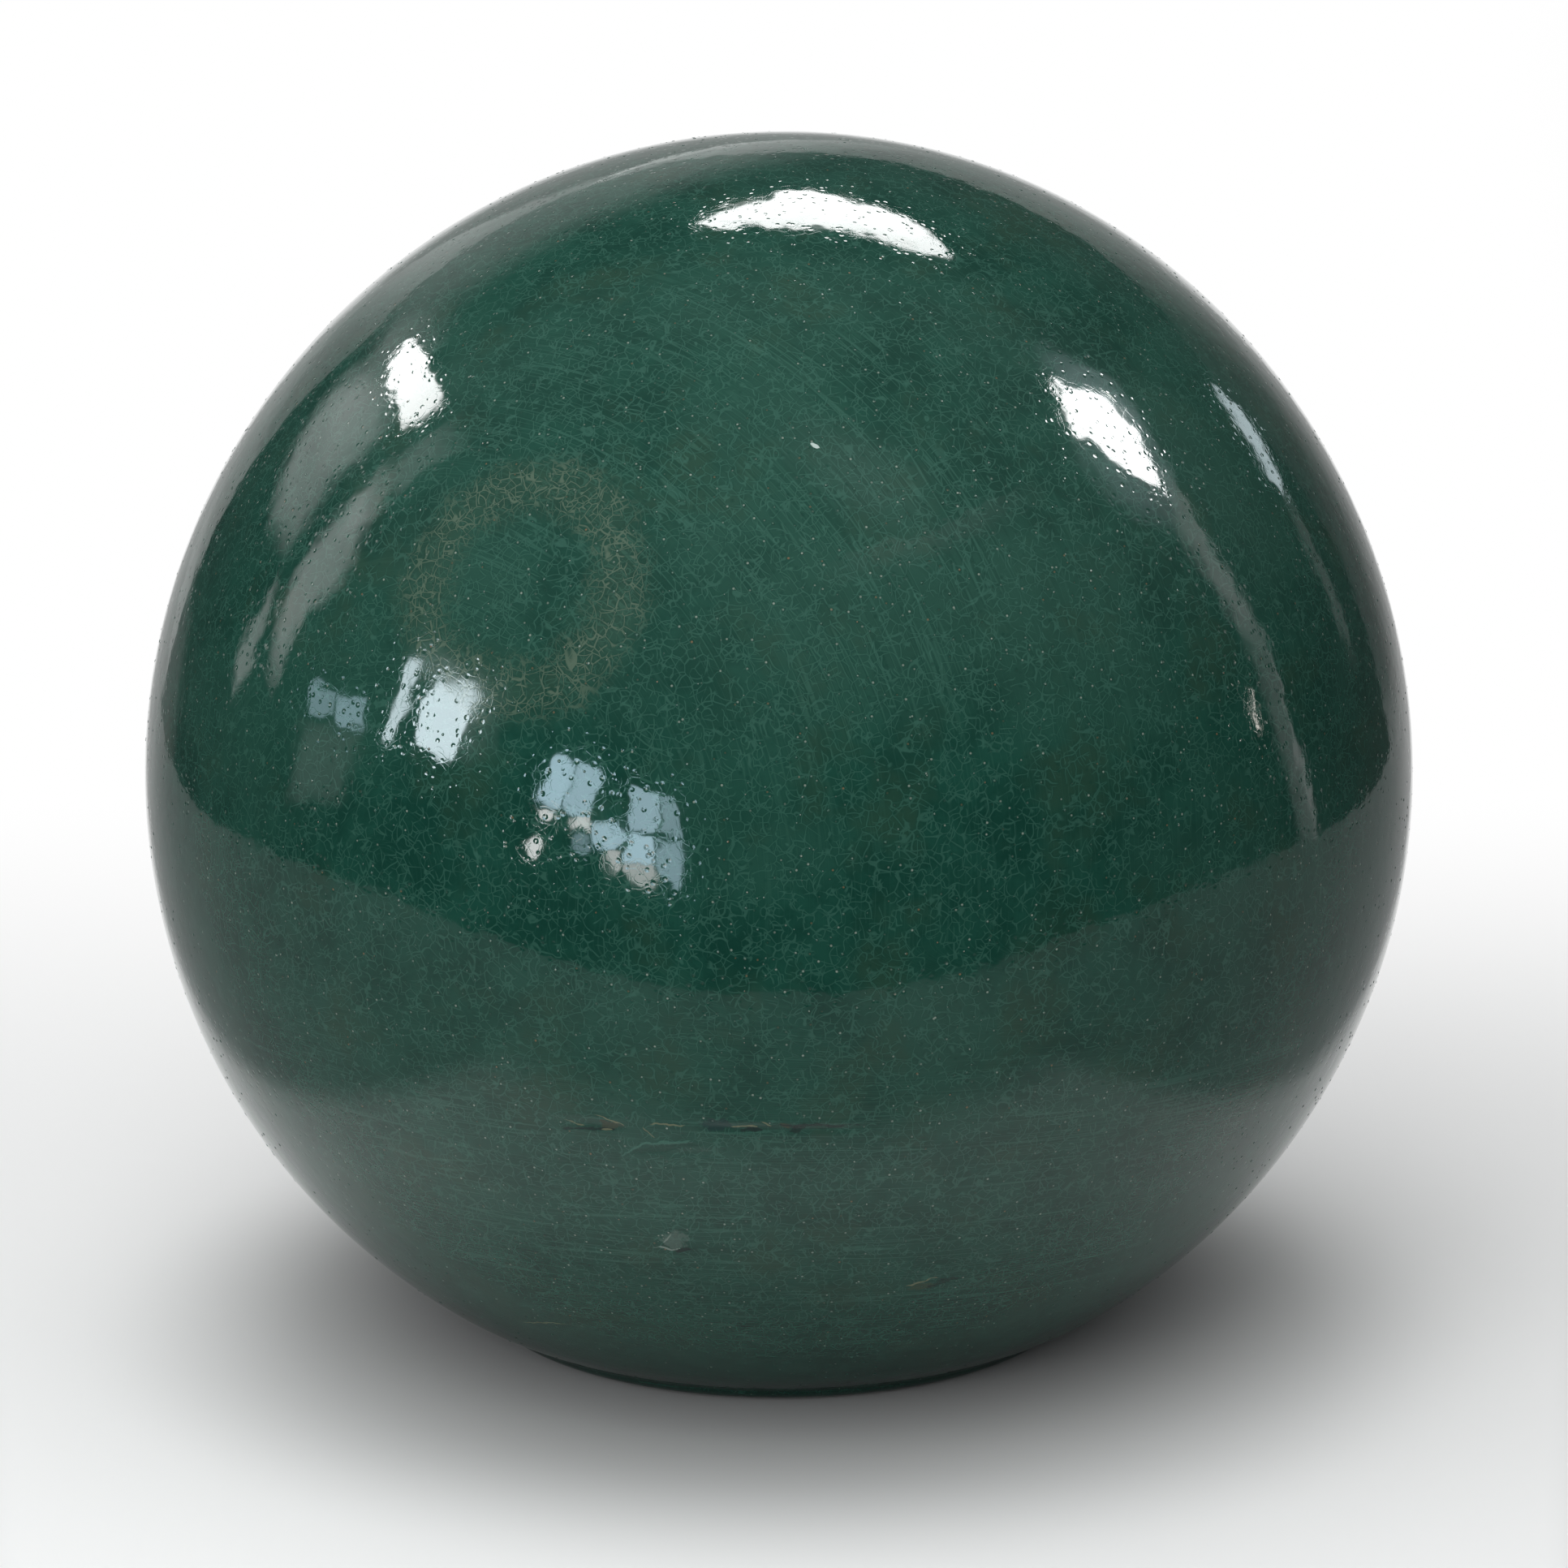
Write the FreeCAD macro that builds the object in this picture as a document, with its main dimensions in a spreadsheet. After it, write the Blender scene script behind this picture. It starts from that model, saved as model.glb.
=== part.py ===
import FreeCAD, Part
import Sketcher
import os
from math import atan2, hypot

# Hollow ceramic garden ball, in millimetres.
# The origin is the middle of the flat foot on the ground, and +Z is the axis it was turned about.
# Every piece is a turned form, so each is a half section swung round that axis.
SIZES = {
    # the ball as it stands
    "ball_radius": 150.0,
    "foot_radius": 65.0,
    # the fired clay wall and its glass skin
    "wall_thickness": 9.0,
    "glaze_thickness": 0.6,
    # the joint between bowl and dome: its level below the middle of the ball, and what fills it
    "seam_drop": 47.0,
    "slip_thickness": 1.2,
    "coil_width": 24.0,
    "coil_height": 5.0,
    # the bottom of the bowl
    "floor_thickness": 11.0,
    "floor_round": 18.0,
    "foot_ring_width": 12.0,
    "foot_recess": 2.0,
    "foot_edge_round": 1.5,
    "vent_radius": 8.0,
    # the rolled lower edge of the glaze
    "glaze_stop": 0.8,
    "bead_width": 9.0,
    "bead_radius": 9.5,
    # how far a cutting outline stands out of the clay that it cuts
    "cut_overrun": 5.0,
}

# Sizes that follow from those above, as the document works them out.
CLAY_RADIUS = "(Sizes.ball_radius - Sizes.glaze_thickness)"
INNER_RADIUS = f"({CLAY_RADIUS} - Sizes.wall_thickness)"
MIDDLE_HEIGHT = f"sqrt({CLAY_RADIUS} ^ 2 - Sizes.foot_radius ^ 2)"
HALF_SLIP = "(Sizes.slip_thickness / 2)"
FLOOR_TOP = "(Sizes.foot_recess + Sizes.floor_thickness)"
RECESS_RADIUS = "(Sizes.foot_radius - Sizes.foot_ring_width)"
COIL_CREST = f"({INNER_RADIUS} - Sizes.coil_height)"

# The sketcher counts a line's or arc's points upwards from 1, and the two axes downwards from -1.
START, END, CENTRE = range(1, 4)
LEVEL_AXIS, AXIS = range(-1, -3, -1)
ORIGIN = (LEVEL_AXIS, START)


def make_sheet(doc):
    """Spreadsheet with one named cell for each size."""
    sheet = doc.addObject("Spreadsheet::Sheet", "Sizes")
    for row, (name, value) in enumerate(SIZES.items(), start=1):
        cell = f"B{row}"
        sheet.set(f"A{row}", name)
        sheet.set(cell, str(value))
        sheet.setAlias(cell, name)
    doc.recompute()
    return sheet


def worked_out(doc, expression):
    """Value of an expression on the sheet, as a plain number."""
    value = doc.Sizes.evalExpression(expression)
    return getattr(value, "Value", value)


class Outline:
    """Half section on a plane of its own body: X is the distance from the axis, Y the height."""

    def __init__(self, body, name, role="XZ_Plane"):
        self.body = body
        self.doc = body.Document
        self.sketch = body.newObject("Sketcher::SketchObject", name)
        planes = {feature.Role: feature for feature in body.Origin.OriginFeatures}
        self.sketch.AttachmentSupport = [(planes[role], "")]
        self.sketch.MapMode = "FlatFace"

    def line(self, start, end, construction=False):
        segment = Part.LineSegment(FreeCAD.Vector(*start, 0), FreeCAD.Vector(*end, 0))
        return self.sketch.addGeometry(segment, construction)

    def circle(self, centre, radius):
        up = FreeCAD.Vector(0, 0, 1)
        return self.sketch.addGeometry(Part.Circle(FreeCAD.Vector(*centre, 0), up, radius), False)

    def arc(self, centre, start, end):
        """Arc that runs anticlockwise from start to end."""
        first, last = (atan2(y - centre[1], x - centre[0]) for x, y in (start, end))
        radius = hypot(start[0] - centre[0], start[1] - centre[1])
        ring = Part.Circle(FreeCAD.Vector(*centre, 0), FreeCAD.Vector(0, 0, 1), radius)
        return self.sketch.addGeometry(Part.ArcOfCircle(ring, first, last), False)

    def point(self, place):
        return self.sketch.addGeometry(Part.Point(FreeCAD.Vector(*place, 0)), True)

    def hold(self, kind, *where):
        self.sketch.addConstraint(Sketcher.Constraint(kind, *where))

    def measure(self, name, kind, where, expression):
        """Dimension named after what it holds, bound to the sheet."""
        value = worked_out(self.doc, expression)
        index = self.sketch.addConstraint(Sketcher.Constraint(kind, *where, value))
        self.sketch.renameConstraint(index, name)
        self.sketch.setExpression(f"Constraints.{name}", expression)

    def centre_on_ball(self, arc):
        """Put an arc's centre in the middle of the ball."""
        self.hold("PointOnObject", arc, CENTRE, AXIS)
        self.measure("middle_height", "DistanceY", (*ORIGIN, arc, CENTRE), MIDDLE_HEIGHT)

    def seam_ray(self, arc):
        """Construction line from the middle of the ball out through the seam."""
        middle = (0, worked_out(self.doc, MIDDLE_HEIGHT))
        ray = self.line(middle, seam_point(self.doc, "Sizes.ball_radius", "0"), True)
        self.hold("Coincident", ray, START, arc, CENTRE)
        self.measure("ray_length", "Distance", (ray, START, ray, END), "Sizes.ball_radius")
        self.measure("seam_drop", "DistanceY", (ray, END, ray, START), "Sizes.seam_drop")
        return ray

    def square_to_wall(self, name, line, ray, arc):
        """Hold a joint face along the seam's ray, half the slip's thickness away from it."""
        self.hold("Parallel", line, ray)
        self.measure(name, "Distance", (arc, CENTRE, line), HALF_SLIP)

    def swing(self, kind, name):
        """Revolution or groove of this half section, all the way round the axis."""
        feature = self.body.newObject(f"PartDesign::{kind}", name)
        feature.Profile = self.sketch
        feature.ReferenceAxis = (self.sketch, ["V_Axis"])
        feature.Angle = 360
        self.doc.recompute()
        return feature


def seam_point(doc, radius, offset):
    """Point at a radius from the middle of the ball, beside the seam's ray by an offset upwards."""
    reach = worked_out(doc, f"sqrt({radius} ^ 2 - ({offset}) ^ 2)")
    beside = worked_out(doc, offset)
    fall = worked_out(doc, "Sizes.seam_drop / Sizes.ball_radius")
    run = worked_out(doc, "sqrt(1 - (Sizes.seam_drop / Sizes.ball_radius) ^ 2)")
    height = worked_out(doc, MIDDLE_HEIGHT)
    return reach * run + beside * fall, height - reach * fall + beside * run


def make_upper_dome(doc):
    """Dome from the top of the ball down to the seam, one wall thick."""
    body = doc.addObject("PartDesign::Body", "upper_dome")
    outline = Outline(body, "dome_section")
    height = worked_out(doc, MIDDLE_HEIGHT)
    middle = (0, height)
    outer_top = (0, height + worked_out(doc, CLAY_RADIUS))
    inner_top = (0, height + worked_out(doc, INNER_RADIUS))
    rim_outside = seam_point(doc, CLAY_RADIUS, HALF_SLIP)
    rim_inside = seam_point(doc, INNER_RADIUS, HALF_SLIP)

    outer = outline.arc(middle, rim_outside, outer_top)
    crown = outline.line(outer_top, inner_top)
    inner = outline.arc(middle, rim_inside, inner_top)
    rim = outline.line(rim_inside, rim_outside)
    outline.hold("Coincident", outer, END, crown, START)
    outline.hold("Coincident", crown, END, inner, END)
    outline.hold("Coincident", inner, START, rim, START)
    outline.hold("Coincident", rim, END, outer, START)
    outline.hold("Coincident", inner, CENTRE, outer, CENTRE)
    outline.hold("PointOnObject", outer, END, AXIS)
    outline.hold("PointOnObject", inner, END, AXIS)
    outline.centre_on_ball(outer)
    outline.measure("outer_radius", "Radius", (outer,), CLAY_RADIUS)
    outline.measure("inner_radius", "Radius", (inner,), INNER_RADIUS)
    outline.square_to_wall("rim_offset", rim, outline.seam_ray(outer), outer)
    outline.swing("Revolution", "dome_turned")
    return body


def make_lower_bowl(doc):
    """Bowl from the foot up to the seam, turned, then recessed under the foot and vented."""
    body = doc.addObject("PartDesign::Body", "lower_bowl")
    draw_bowl(doc, body)
    volume = body.Shape.Volume
    cut_foot_recess(doc, body)
    must_cut(body, volume)
    volume = body.Shape.Volume
    bore_vent(doc, body)
    must_cut(body, volume)
    return body


def draw_bowl(doc, body):
    """The turned bowl before its foot is recessed: flat floor inside, flat foot, rounded edges."""
    outline = Outline(body, "bowl_section")
    height = worked_out(doc, MIDDLE_HEIGHT)
    middle = (0, height)
    floor_top = worked_out(doc, FLOOR_TOP)
    floor_round = worked_out(doc, "Sizes.floor_round")
    edge_round = worked_out(doc, "Sizes.foot_edge_round")
    inner_reach = worked_out(doc, f"{INNER_RADIUS} - Sizes.floor_round")
    outer_reach = worked_out(doc, f"{CLAY_RADIUS} - Sizes.foot_edge_round")
    corner = rolled_centre(height, inner_reach, floor_top + floor_round)
    edge = rolled_centre(height, outer_reach, edge_round)
    mouth_outside = seam_point(doc, CLAY_RADIUS, f"-{HALF_SLIP}")
    mouth_inside = seam_point(doc, INNER_RADIUS, f"-{HALF_SLIP}")
    corner_end = pushed_out(middle, corner, floor_round)
    edge_end = pushed_out(middle, edge, edge_round)

    outer = outline.arc(middle, edge_end, mouth_outside)
    foot_edge = outline.arc(edge, (edge[0], 0), edge_end)
    foot = outline.line((0, 0), (edge[0], 0))
    core = outline.line((0, floor_top), (0, 0))
    floor = outline.line((0, floor_top), (corner[0], floor_top))
    floor_corner = outline.arc(corner, (corner[0], floor_top), corner_end)
    inner = outline.arc(middle, corner_end, mouth_inside)
    mouth = outline.line(mouth_inside, mouth_outside)
    outline.hold("Coincident", inner, END, mouth, START)
    outline.hold("Coincident", mouth, END, outer, END)
    outline.hold("Tangent", outer, START, foot_edge, END)
    outline.hold("Tangent", foot_edge, START, foot, END)
    outline.hold("Coincident", foot, START, *ORIGIN)
    outline.hold("Horizontal", foot)
    outline.hold("Coincident", core, END, *ORIGIN)
    outline.hold("Vertical", core)
    outline.hold("Coincident", core, START, floor, START)
    outline.hold("Horizontal", floor)
    outline.hold("Tangent", floor, END, floor_corner, START)
    outline.hold("Tangent", floor_corner, END, inner, START)
    outline.hold("Coincident", inner, CENTRE, outer, CENTRE)
    outline.centre_on_ball(outer)
    outline.measure("outer_radius", "Radius", (outer,), CLAY_RADIUS)
    outline.measure("inner_radius", "Radius", (inner,), INNER_RADIUS)
    outline.measure("edge_round", "Radius", (foot_edge,), "Sizes.foot_edge_round")
    outline.measure("floor_round", "Radius", (floor_corner,), "Sizes.floor_round")
    outline.measure("floor_top", "DistanceY", (core, END, core, START), FLOOR_TOP)
    outline.square_to_wall("mouth_offset", mouth, outline.seam_ray(outer), outer)
    outline.swing("Revolution", "bowl_turned")


def rolled_centre(height, reach, level):
    """Centre, at a level, of a round that rolls at a reach from the middle of the ball."""
    return (reach ** 2 - (height - level) ** 2) ** 0.5, level


def pushed_out(middle, place, distance):
    """Place moved away from the middle of the ball by a distance."""
    across, up = place[0] - middle[0], place[1] - middle[1]
    share = distance / hypot(across, up)
    return place[0] + across * share, place[1] + up * share


def cut_foot_recess(doc, body):
    """Shallow recess turned out under the foot, which leaves a flat ring to stand on."""
    outline = Outline(body, "recess_section")
    radius = worked_out(doc, RECESS_RADIUS)
    depth = worked_out(doc, "Sizes.foot_recess")
    below = -worked_out(doc, "Sizes.cut_overrun")
    roof = outline.line((0, depth), (radius, depth))
    side = outline.line((radius, depth), (radius, below))
    base = outline.line((radius, below), (0, below))
    core = outline.line((0, below), (0, depth))
    outline.hold("Coincident", roof, END, side, START)
    outline.hold("Coincident", side, END, base, START)
    outline.hold("Coincident", base, END, core, START)
    outline.hold("Coincident", core, END, roof, START)
    outline.hold("Horizontal", roof)
    outline.hold("Vertical", side)
    outline.hold("Horizontal", base)
    outline.hold("PointOnObject", base, END, AXIS)
    outline.hold("PointOnObject", roof, START, AXIS)
    outline.measure("recess_radius", "DistanceX", (*ORIGIN, roof, END), RECESS_RADIUS)
    outline.measure("recess_depth", "DistanceY", (*ORIGIN, roof, END), "Sizes.foot_recess")
    outline.measure("overrun", "DistanceY", (base, START, *ORIGIN), "Sizes.cut_overrun")
    outline.swing("Groove", "foot_recess_turned")


def bore_vent(doc, body):
    """Hole on the axis that lets the kiln's hot air out of the hollow ball."""
    outline = Outline(body, "vent_circle", role="XY_Plane")
    ring = outline.circle((0, 0), worked_out(doc, "Sizes.vent_radius"))
    outline.hold("Coincident", ring, CENTRE, *ORIGIN)
    outline.measure("vent_radius", "Radius", (ring,), "Sizes.vent_radius")
    pocket = body.newObject("PartDesign::Pocket", "vent_bored")
    pocket.Profile = outline.sketch
    pocket.Reversed = True
    pocket.setExpression("Length", f"{FLOOR_TOP} + Sizes.cut_overrun")
    doc.recompute()


def must_cut(body, volume):
    """Stop if the last cut took nothing away."""
    if not body.Shape.Volume < volume:
        raise RuntimeError(f"{body.Tip.Label} cuts nothing")


def make_joint_slip(doc):
    """Ring of fired slip that fills the joint between the bowl's mouth and the dome's rim."""
    body = doc.addObject("PartDesign::Body", "joint_slip")
    outline = Outline(body, "slip_section")
    middle = (0, worked_out(doc, MIDDLE_HEIGHT))
    low_outside, high_outside = (seam_point(doc, CLAY_RADIUS, side + HALF_SLIP) for side in "-+")
    low_inside, high_inside = (seam_point(doc, INNER_RADIUS, side + HALF_SLIP) for side in "-+")

    outer = outline.arc(middle, low_outside, high_outside)
    inner = outline.arc(middle, low_inside, high_inside)
    upper = outline.line(high_inside, high_outside)
    lower = outline.line(low_inside, low_outside)
    outline.hold("Coincident", inner, END, upper, START)
    outline.hold("Coincident", upper, END, outer, END)
    outline.hold("Coincident", inner, START, lower, START)
    outline.hold("Coincident", lower, END, outer, START)
    outline.hold("Coincident", inner, CENTRE, outer, CENTRE)
    outline.centre_on_ball(outer)
    outline.measure("outer_radius", "Radius", (outer,), CLAY_RADIUS)
    outline.measure("inner_radius", "Radius", (inner,), INNER_RADIUS)
    ray = outline.seam_ray(outer)
    outline.square_to_wall("upper_offset", upper, ray, outer)
    outline.square_to_wall("lower_offset", lower, ray, outer)
    outline.swing("Revolution", "slip_turned")
    return body


def make_seam_coil(doc):
    """Roll of clay pressed over the seam on the inside, feathered out on the wall."""
    body = doc.addObject("PartDesign::Body", "seam_coil")
    outline = Outline(body, "coil_section")
    middle = (0, worked_out(doc, MIDDLE_HEIGHT))
    low_end, high_end = (
        seam_point(doc, INNER_RADIUS, f"{side}Sizes.coil_width / 2") for side in "-+"
    )
    crest_place = seam_point(doc, COIL_CREST, "0")
    back = worked_out(doc, f"sqrt({INNER_RADIUS} ^ 2 - (Sizes.coil_width / 2) ^ 2) - {COIL_CREST}")
    half_width = worked_out(doc, "Sizes.coil_width / 2")
    roll_radius = (half_width ** 2 + back ** 2) / (2 * back)
    roll_centre = pushed_out(middle, crest_place, roll_radius)

    wall = outline.arc(middle, low_end, high_end)
    roll = outline.arc(roll_centre, high_end, low_end)
    crest = outline.point(crest_place)
    outline.hold("Coincident", wall, END, roll, START)
    outline.hold("Coincident", wall, START, roll, END)
    outline.centre_on_ball(wall)
    outline.measure("wall_radius", "Radius", (wall,), INNER_RADIUS)
    ray = outline.seam_ray(wall)
    outline.hold("PointOnObject", roll, CENTRE, ray)
    outline.hold("PointOnObject", crest, START, ray)
    outline.hold("PointOnObject", crest, START, roll)
    outline.measure("crest_reach", "Distance", (wall, CENTRE, crest, START), COIL_CREST)
    outline.measure("coil_width", "Distance", (wall, START, wall, END), "Sizes.coil_width")
    outline.swing("Revolution", "coil_turned")
    return body


def make_glaze_coat(doc):
    """Glass skin over the whole outside, rolled into a thicker bead where it ends at the foot."""
    body = doc.addObject("PartDesign::Body", "glaze_coat")
    outline = Outline(body, "glaze_section")
    height = worked_out(doc, MIDDLE_HEIGHT)
    middle = (0, height)
    clay_top = (0, height + worked_out(doc, CLAY_RADIUS))
    glaze_top = (0, height + worked_out(doc, "Sizes.ball_radius"))
    glaze_end = rolled_centre(height, worked_out(doc, CLAY_RADIUS), worked_out(doc, "Sizes.glaze_stop"))
    turn = worked_out(doc, "Sizes.bead_width / Sizes.ball_radius")
    along = (height - glaze_end[1], glaze_end[0])
    bead_top = pushed_out(
        middle,
        (glaze_end[0] + along[0] * turn, glaze_end[1] + along[1] * turn),
        worked_out(doc, "Sizes.glaze_thickness"),
    )
    chord = ((glaze_end[0] + bead_top[0]) / 2, (glaze_end[1] + bead_top[1]) / 2)
    depth = worked_out(doc, "sqrt(Sizes.bead_radius ^ 2 - (Sizes.bead_width / 2) ^ 2)")
    bead_centre = pushed_out(middle, chord, -depth)

    outer = outline.arc(middle, bead_top, glaze_top)
    crown = outline.line(glaze_top, clay_top)
    inner = outline.arc(middle, glaze_end, clay_top)
    bead = outline.arc(bead_centre, glaze_end, bead_top)
    outline.hold("Coincident", outer, END, crown, START)
    outline.hold("Coincident", crown, END, inner, END)
    outline.hold("Coincident", inner, START, bead, START)
    outline.hold("Coincident", bead, END, outer, START)
    outline.hold("Coincident", inner, CENTRE, outer, CENTRE)
    outline.hold("PointOnObject", outer, END, AXIS)
    outline.hold("PointOnObject", inner, END, AXIS)
    outline.centre_on_ball(outer)
    outline.measure("outer_radius", "Radius", (outer,), "Sizes.ball_radius")
    outline.measure("inner_radius", "Radius", (inner,), CLAY_RADIUS)
    outline.measure("glaze_stop", "DistanceY", (*ORIGIN, inner, START), "Sizes.glaze_stop")
    outline.measure("bead_width", "Distance", (bead, START, bead, END), "Sizes.bead_width")
    outline.measure("bead_radius", "Radius", (bead,), "Sizes.bead_radius")
    outline.swing("Revolution", "glaze_fired")
    return body


def check_document(doc, bodies):
    """Stop on any failed object, loose sketch, or shape that isn't one sound solid."""
    for item in doc.Objects:
        if {"Invalid", "Error"} & set(item.State):
            raise RuntimeError(f"{item.Label} failed: {item.State}")
        if item.TypeId == "Sketcher::SketchObject" and item.solve() != 0:
            raise RuntimeError(f"{item.Label} can't be solved")
    for body in bodies:
        shape = body.Shape
        if shape.isNull() or not shape.isValid() or len(shape.Solids) != 1:
            raise RuntimeError(f"{body.Label} isn't one valid solid")


def main():
    doc = FreeCAD.newDocument("garden_ball")
    make_sheet(doc)
    makers = (make_lower_bowl, make_upper_dome, make_joint_slip, make_seam_coil, make_glaze_coat)
    bodies = [make(doc) for make in makers]
    doc.recompute()
    check_document(doc, bodies)
    os.makedirs("parts", exist_ok=True)
    for body in bodies:
        body.Shape.exportStep(f"parts/{body.Label}.step")
        print(f"{body.Label}: {body.Shape.Volume:.0f} cubic mm")


main()
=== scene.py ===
import math
import sys

import bpy
import numpy as np
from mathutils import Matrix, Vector
from mathutils.bvhtree import BVHTree


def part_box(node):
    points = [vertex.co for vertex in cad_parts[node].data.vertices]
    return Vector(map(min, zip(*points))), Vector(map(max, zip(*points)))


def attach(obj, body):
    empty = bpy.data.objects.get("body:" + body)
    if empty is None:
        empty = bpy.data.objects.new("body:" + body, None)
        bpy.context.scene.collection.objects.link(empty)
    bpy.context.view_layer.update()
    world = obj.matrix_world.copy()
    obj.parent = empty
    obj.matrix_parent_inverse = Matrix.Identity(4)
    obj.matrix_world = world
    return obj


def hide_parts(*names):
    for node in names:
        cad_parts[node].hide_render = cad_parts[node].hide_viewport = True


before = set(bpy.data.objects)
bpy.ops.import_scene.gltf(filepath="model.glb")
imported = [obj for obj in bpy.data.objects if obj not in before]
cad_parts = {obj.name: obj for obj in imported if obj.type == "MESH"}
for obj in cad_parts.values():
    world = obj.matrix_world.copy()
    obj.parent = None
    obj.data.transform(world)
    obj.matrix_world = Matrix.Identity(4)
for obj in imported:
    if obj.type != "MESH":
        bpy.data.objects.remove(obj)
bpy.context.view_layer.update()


# Camera
# A long lens about a metre in front of the ball and a little above it, looking down on it by twelve degrees.
# The aim lies a few millimetres under the ball's middle, which puts the ball a little high in the picture.
BALL_RADIUS = 0.150
BALL_MIDDLE = Vector((0, 0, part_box("glaze_coat")[1].z - BALL_RADIUS))
LOOKING_DOWN = math.radians(12)
CAMERA_DISTANCE = 0.9885
LENS = 94.6
AIM_ACROSS, AIM_UP = 0.0011, -0.0040

towards_camera = Vector((0, -math.cos(LOOKING_DOWN), math.sin(LOOKING_DOWN)))
picture_up = Vector((0, math.sin(LOOKING_DOWN), math.cos(LOOKING_DOWN)))
camera_data = bpy.data.cameras.new("front_camera")
camera_data.lens = LENS
camera = bpy.data.objects.new("front_camera", camera_data)
camera.location = BALL_MIDDLE + towards_camera * CAMERA_DISTANCE
aim = BALL_MIDDLE + Vector((AIM_ACROSS, 0, 0)) + picture_up * AIM_UP
camera.rotation_mode = "QUATERNION"
camera.rotation_quaternion = (aim - camera.location).to_track_quat("-Z", "Y")
bpy.context.scene.collection.objects.link(camera)
bpy.context.scene.camera = camera
bpy.context.scene.view_settings.view_transform = "Standard"


# Studio sweep
# One pale sheet: the floor under the ball, with a straight front edge and rounded corners, that curves up
# into a white backdrop behind it. It is whitest in a lane under and behind the ball and grey beside it, and
# round the foot it is painted darker as a contact shadow.
FLOOR_FRONT, FLOOR_HALF_WIDTH, FLOOR_CORNER = -0.38, 0.80, 0.50
BEND_START, BEND_RADIUS, BACKDROP_TOP = 1.25, 0.50, 1.13
# How much the sheet widens for each metre behind the ball, on the left and on the right, and how far and from
# where to where across the backdrop's right corner rises.
WIDENING, RAISED_CORNER, RAISED_ACROSS = (0.76, 1.02), 0.20, (0.3, 1.5)
CORNER_ROWS, FLOOR_ROWS, BEND_ROWS, BACKDROP_ROWS, COLUMNS = 26, 24, 17, 6, 20
# The floor's grey beside the lane, its white lane, and the dark grey of the shadow painted round the foot.
OUTER_GREY, LANE_WHITE, PAINTED_FOOT_SHADOW = (0.37, 0.375, 0.38, 1), (0.92, 0.92, 0.92, 1), (0.18, 0.185, 0.185, 1)
# The lane's edge beside the ball, its front edge, and how much it widens for each metre behind the ball.
LANE_EDGE, LANE_FRONT, LANE_WIDENING = (0.225, 0.19), (-0.23, -0.17), 0.2
# The painted contact shadow round the foot, from its edge to its full depth.
PAINTED_SHADOW_REACH = (0.175, 0.075)
# The plain white that the camera and the mirrors see further back: from where to where it comes in, how much
# later it does beside the lane, and how far it stays off the foot.
WHITE_BACK, WHITE_LATER, WHITE_OFF_FOOT = (-0.385, 0.30), 1.5, (0.09, 0.16)
# How that white dims up the backdrop, beside the lane and far to the right, as (from, to, whole, dimmed).
DIM_UP, DIM_BESIDE, DIM_RIGHT = (0.28, 0.60, 1.0, 0.44), (0.195, 0.26, 1.0, 0.55), (0.45, 1.4, 1.0, 0.30)
PAPER_ROUGHNESS, PAPER_SHINE, PAPER_SHEEN, SHEEN_ROUGHNESS = 0.9, 0.1, 1.0, 0.4


def node(kind, inputs=None, **settings):
    """One node in the tree at hand, with its settings and its inputs set or wired; gives its first output."""
    made = tree.nodes.new(kind)
    for name, value in settings.items():
        setattr(made, name, value)
    for name, value in (inputs or {}).items():
        if isinstance(value, bpy.types.NodeSocket):
            tree.links.new(value, made.inputs[name])
        else:
            made.inputs[name].default_value = value
    return next((out for out in made.outputs if out.enabled), None)


def maths(operation, *values):
    """A sum on up to three numbers or outputs."""
    return node("ShaderNodeMath", dict(enumerate(values)), operation=operation)


def vectors(operation, first, second=None):
    """A sum on places or ways; their length and dot product are numbers."""
    inputs = {0: first}
    if second is not None:
        inputs["Scale" if operation == "SCALE" else 1] = second
    made = node("ShaderNodeVectorMath", inputs, operation=operation).node
    return made.outputs["Value" if operation in ("LENGTH", "DOT_PRODUCT") else "Vector"]


def graded(value, start, end, low=0.0, high=1.0):
    """The value taken smoothly from start..end to low..high."""
    inputs = {"Value": value, "From Min": start, "From Max": end, "To Min": low, "To Max": high}
    return node("ShaderNodeMapRange", inputs, interpolation_type="SMOOTHSTEP")


def mixed(amount, first, second):
    """One colour laid over another."""
    under, over, result = 6, 7, 2
    inputs = {"Factor": amount, under: first, over: second}
    return node("ShaderNodeMix", inputs, data_type="RGBA").node.outputs[result]


def new_material(name):
    """An empty material and its tree."""
    material = bpy.data.materials.new(name)
    material.use_nodes = True
    material.node_tree.nodes.clear()
    return material, material.node_tree


def new_piece(name, points, faces):
    """An object at the origin whose mesh holds its place."""
    mesh = bpy.data.meshes.new(name)
    mesh.from_pydata([tuple(p) for p in points], [], faces)
    mesh.update()
    piece = bpy.data.objects.new(name, mesh)
    bpy.context.scene.collection.objects.link(piece)
    return piece


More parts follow.
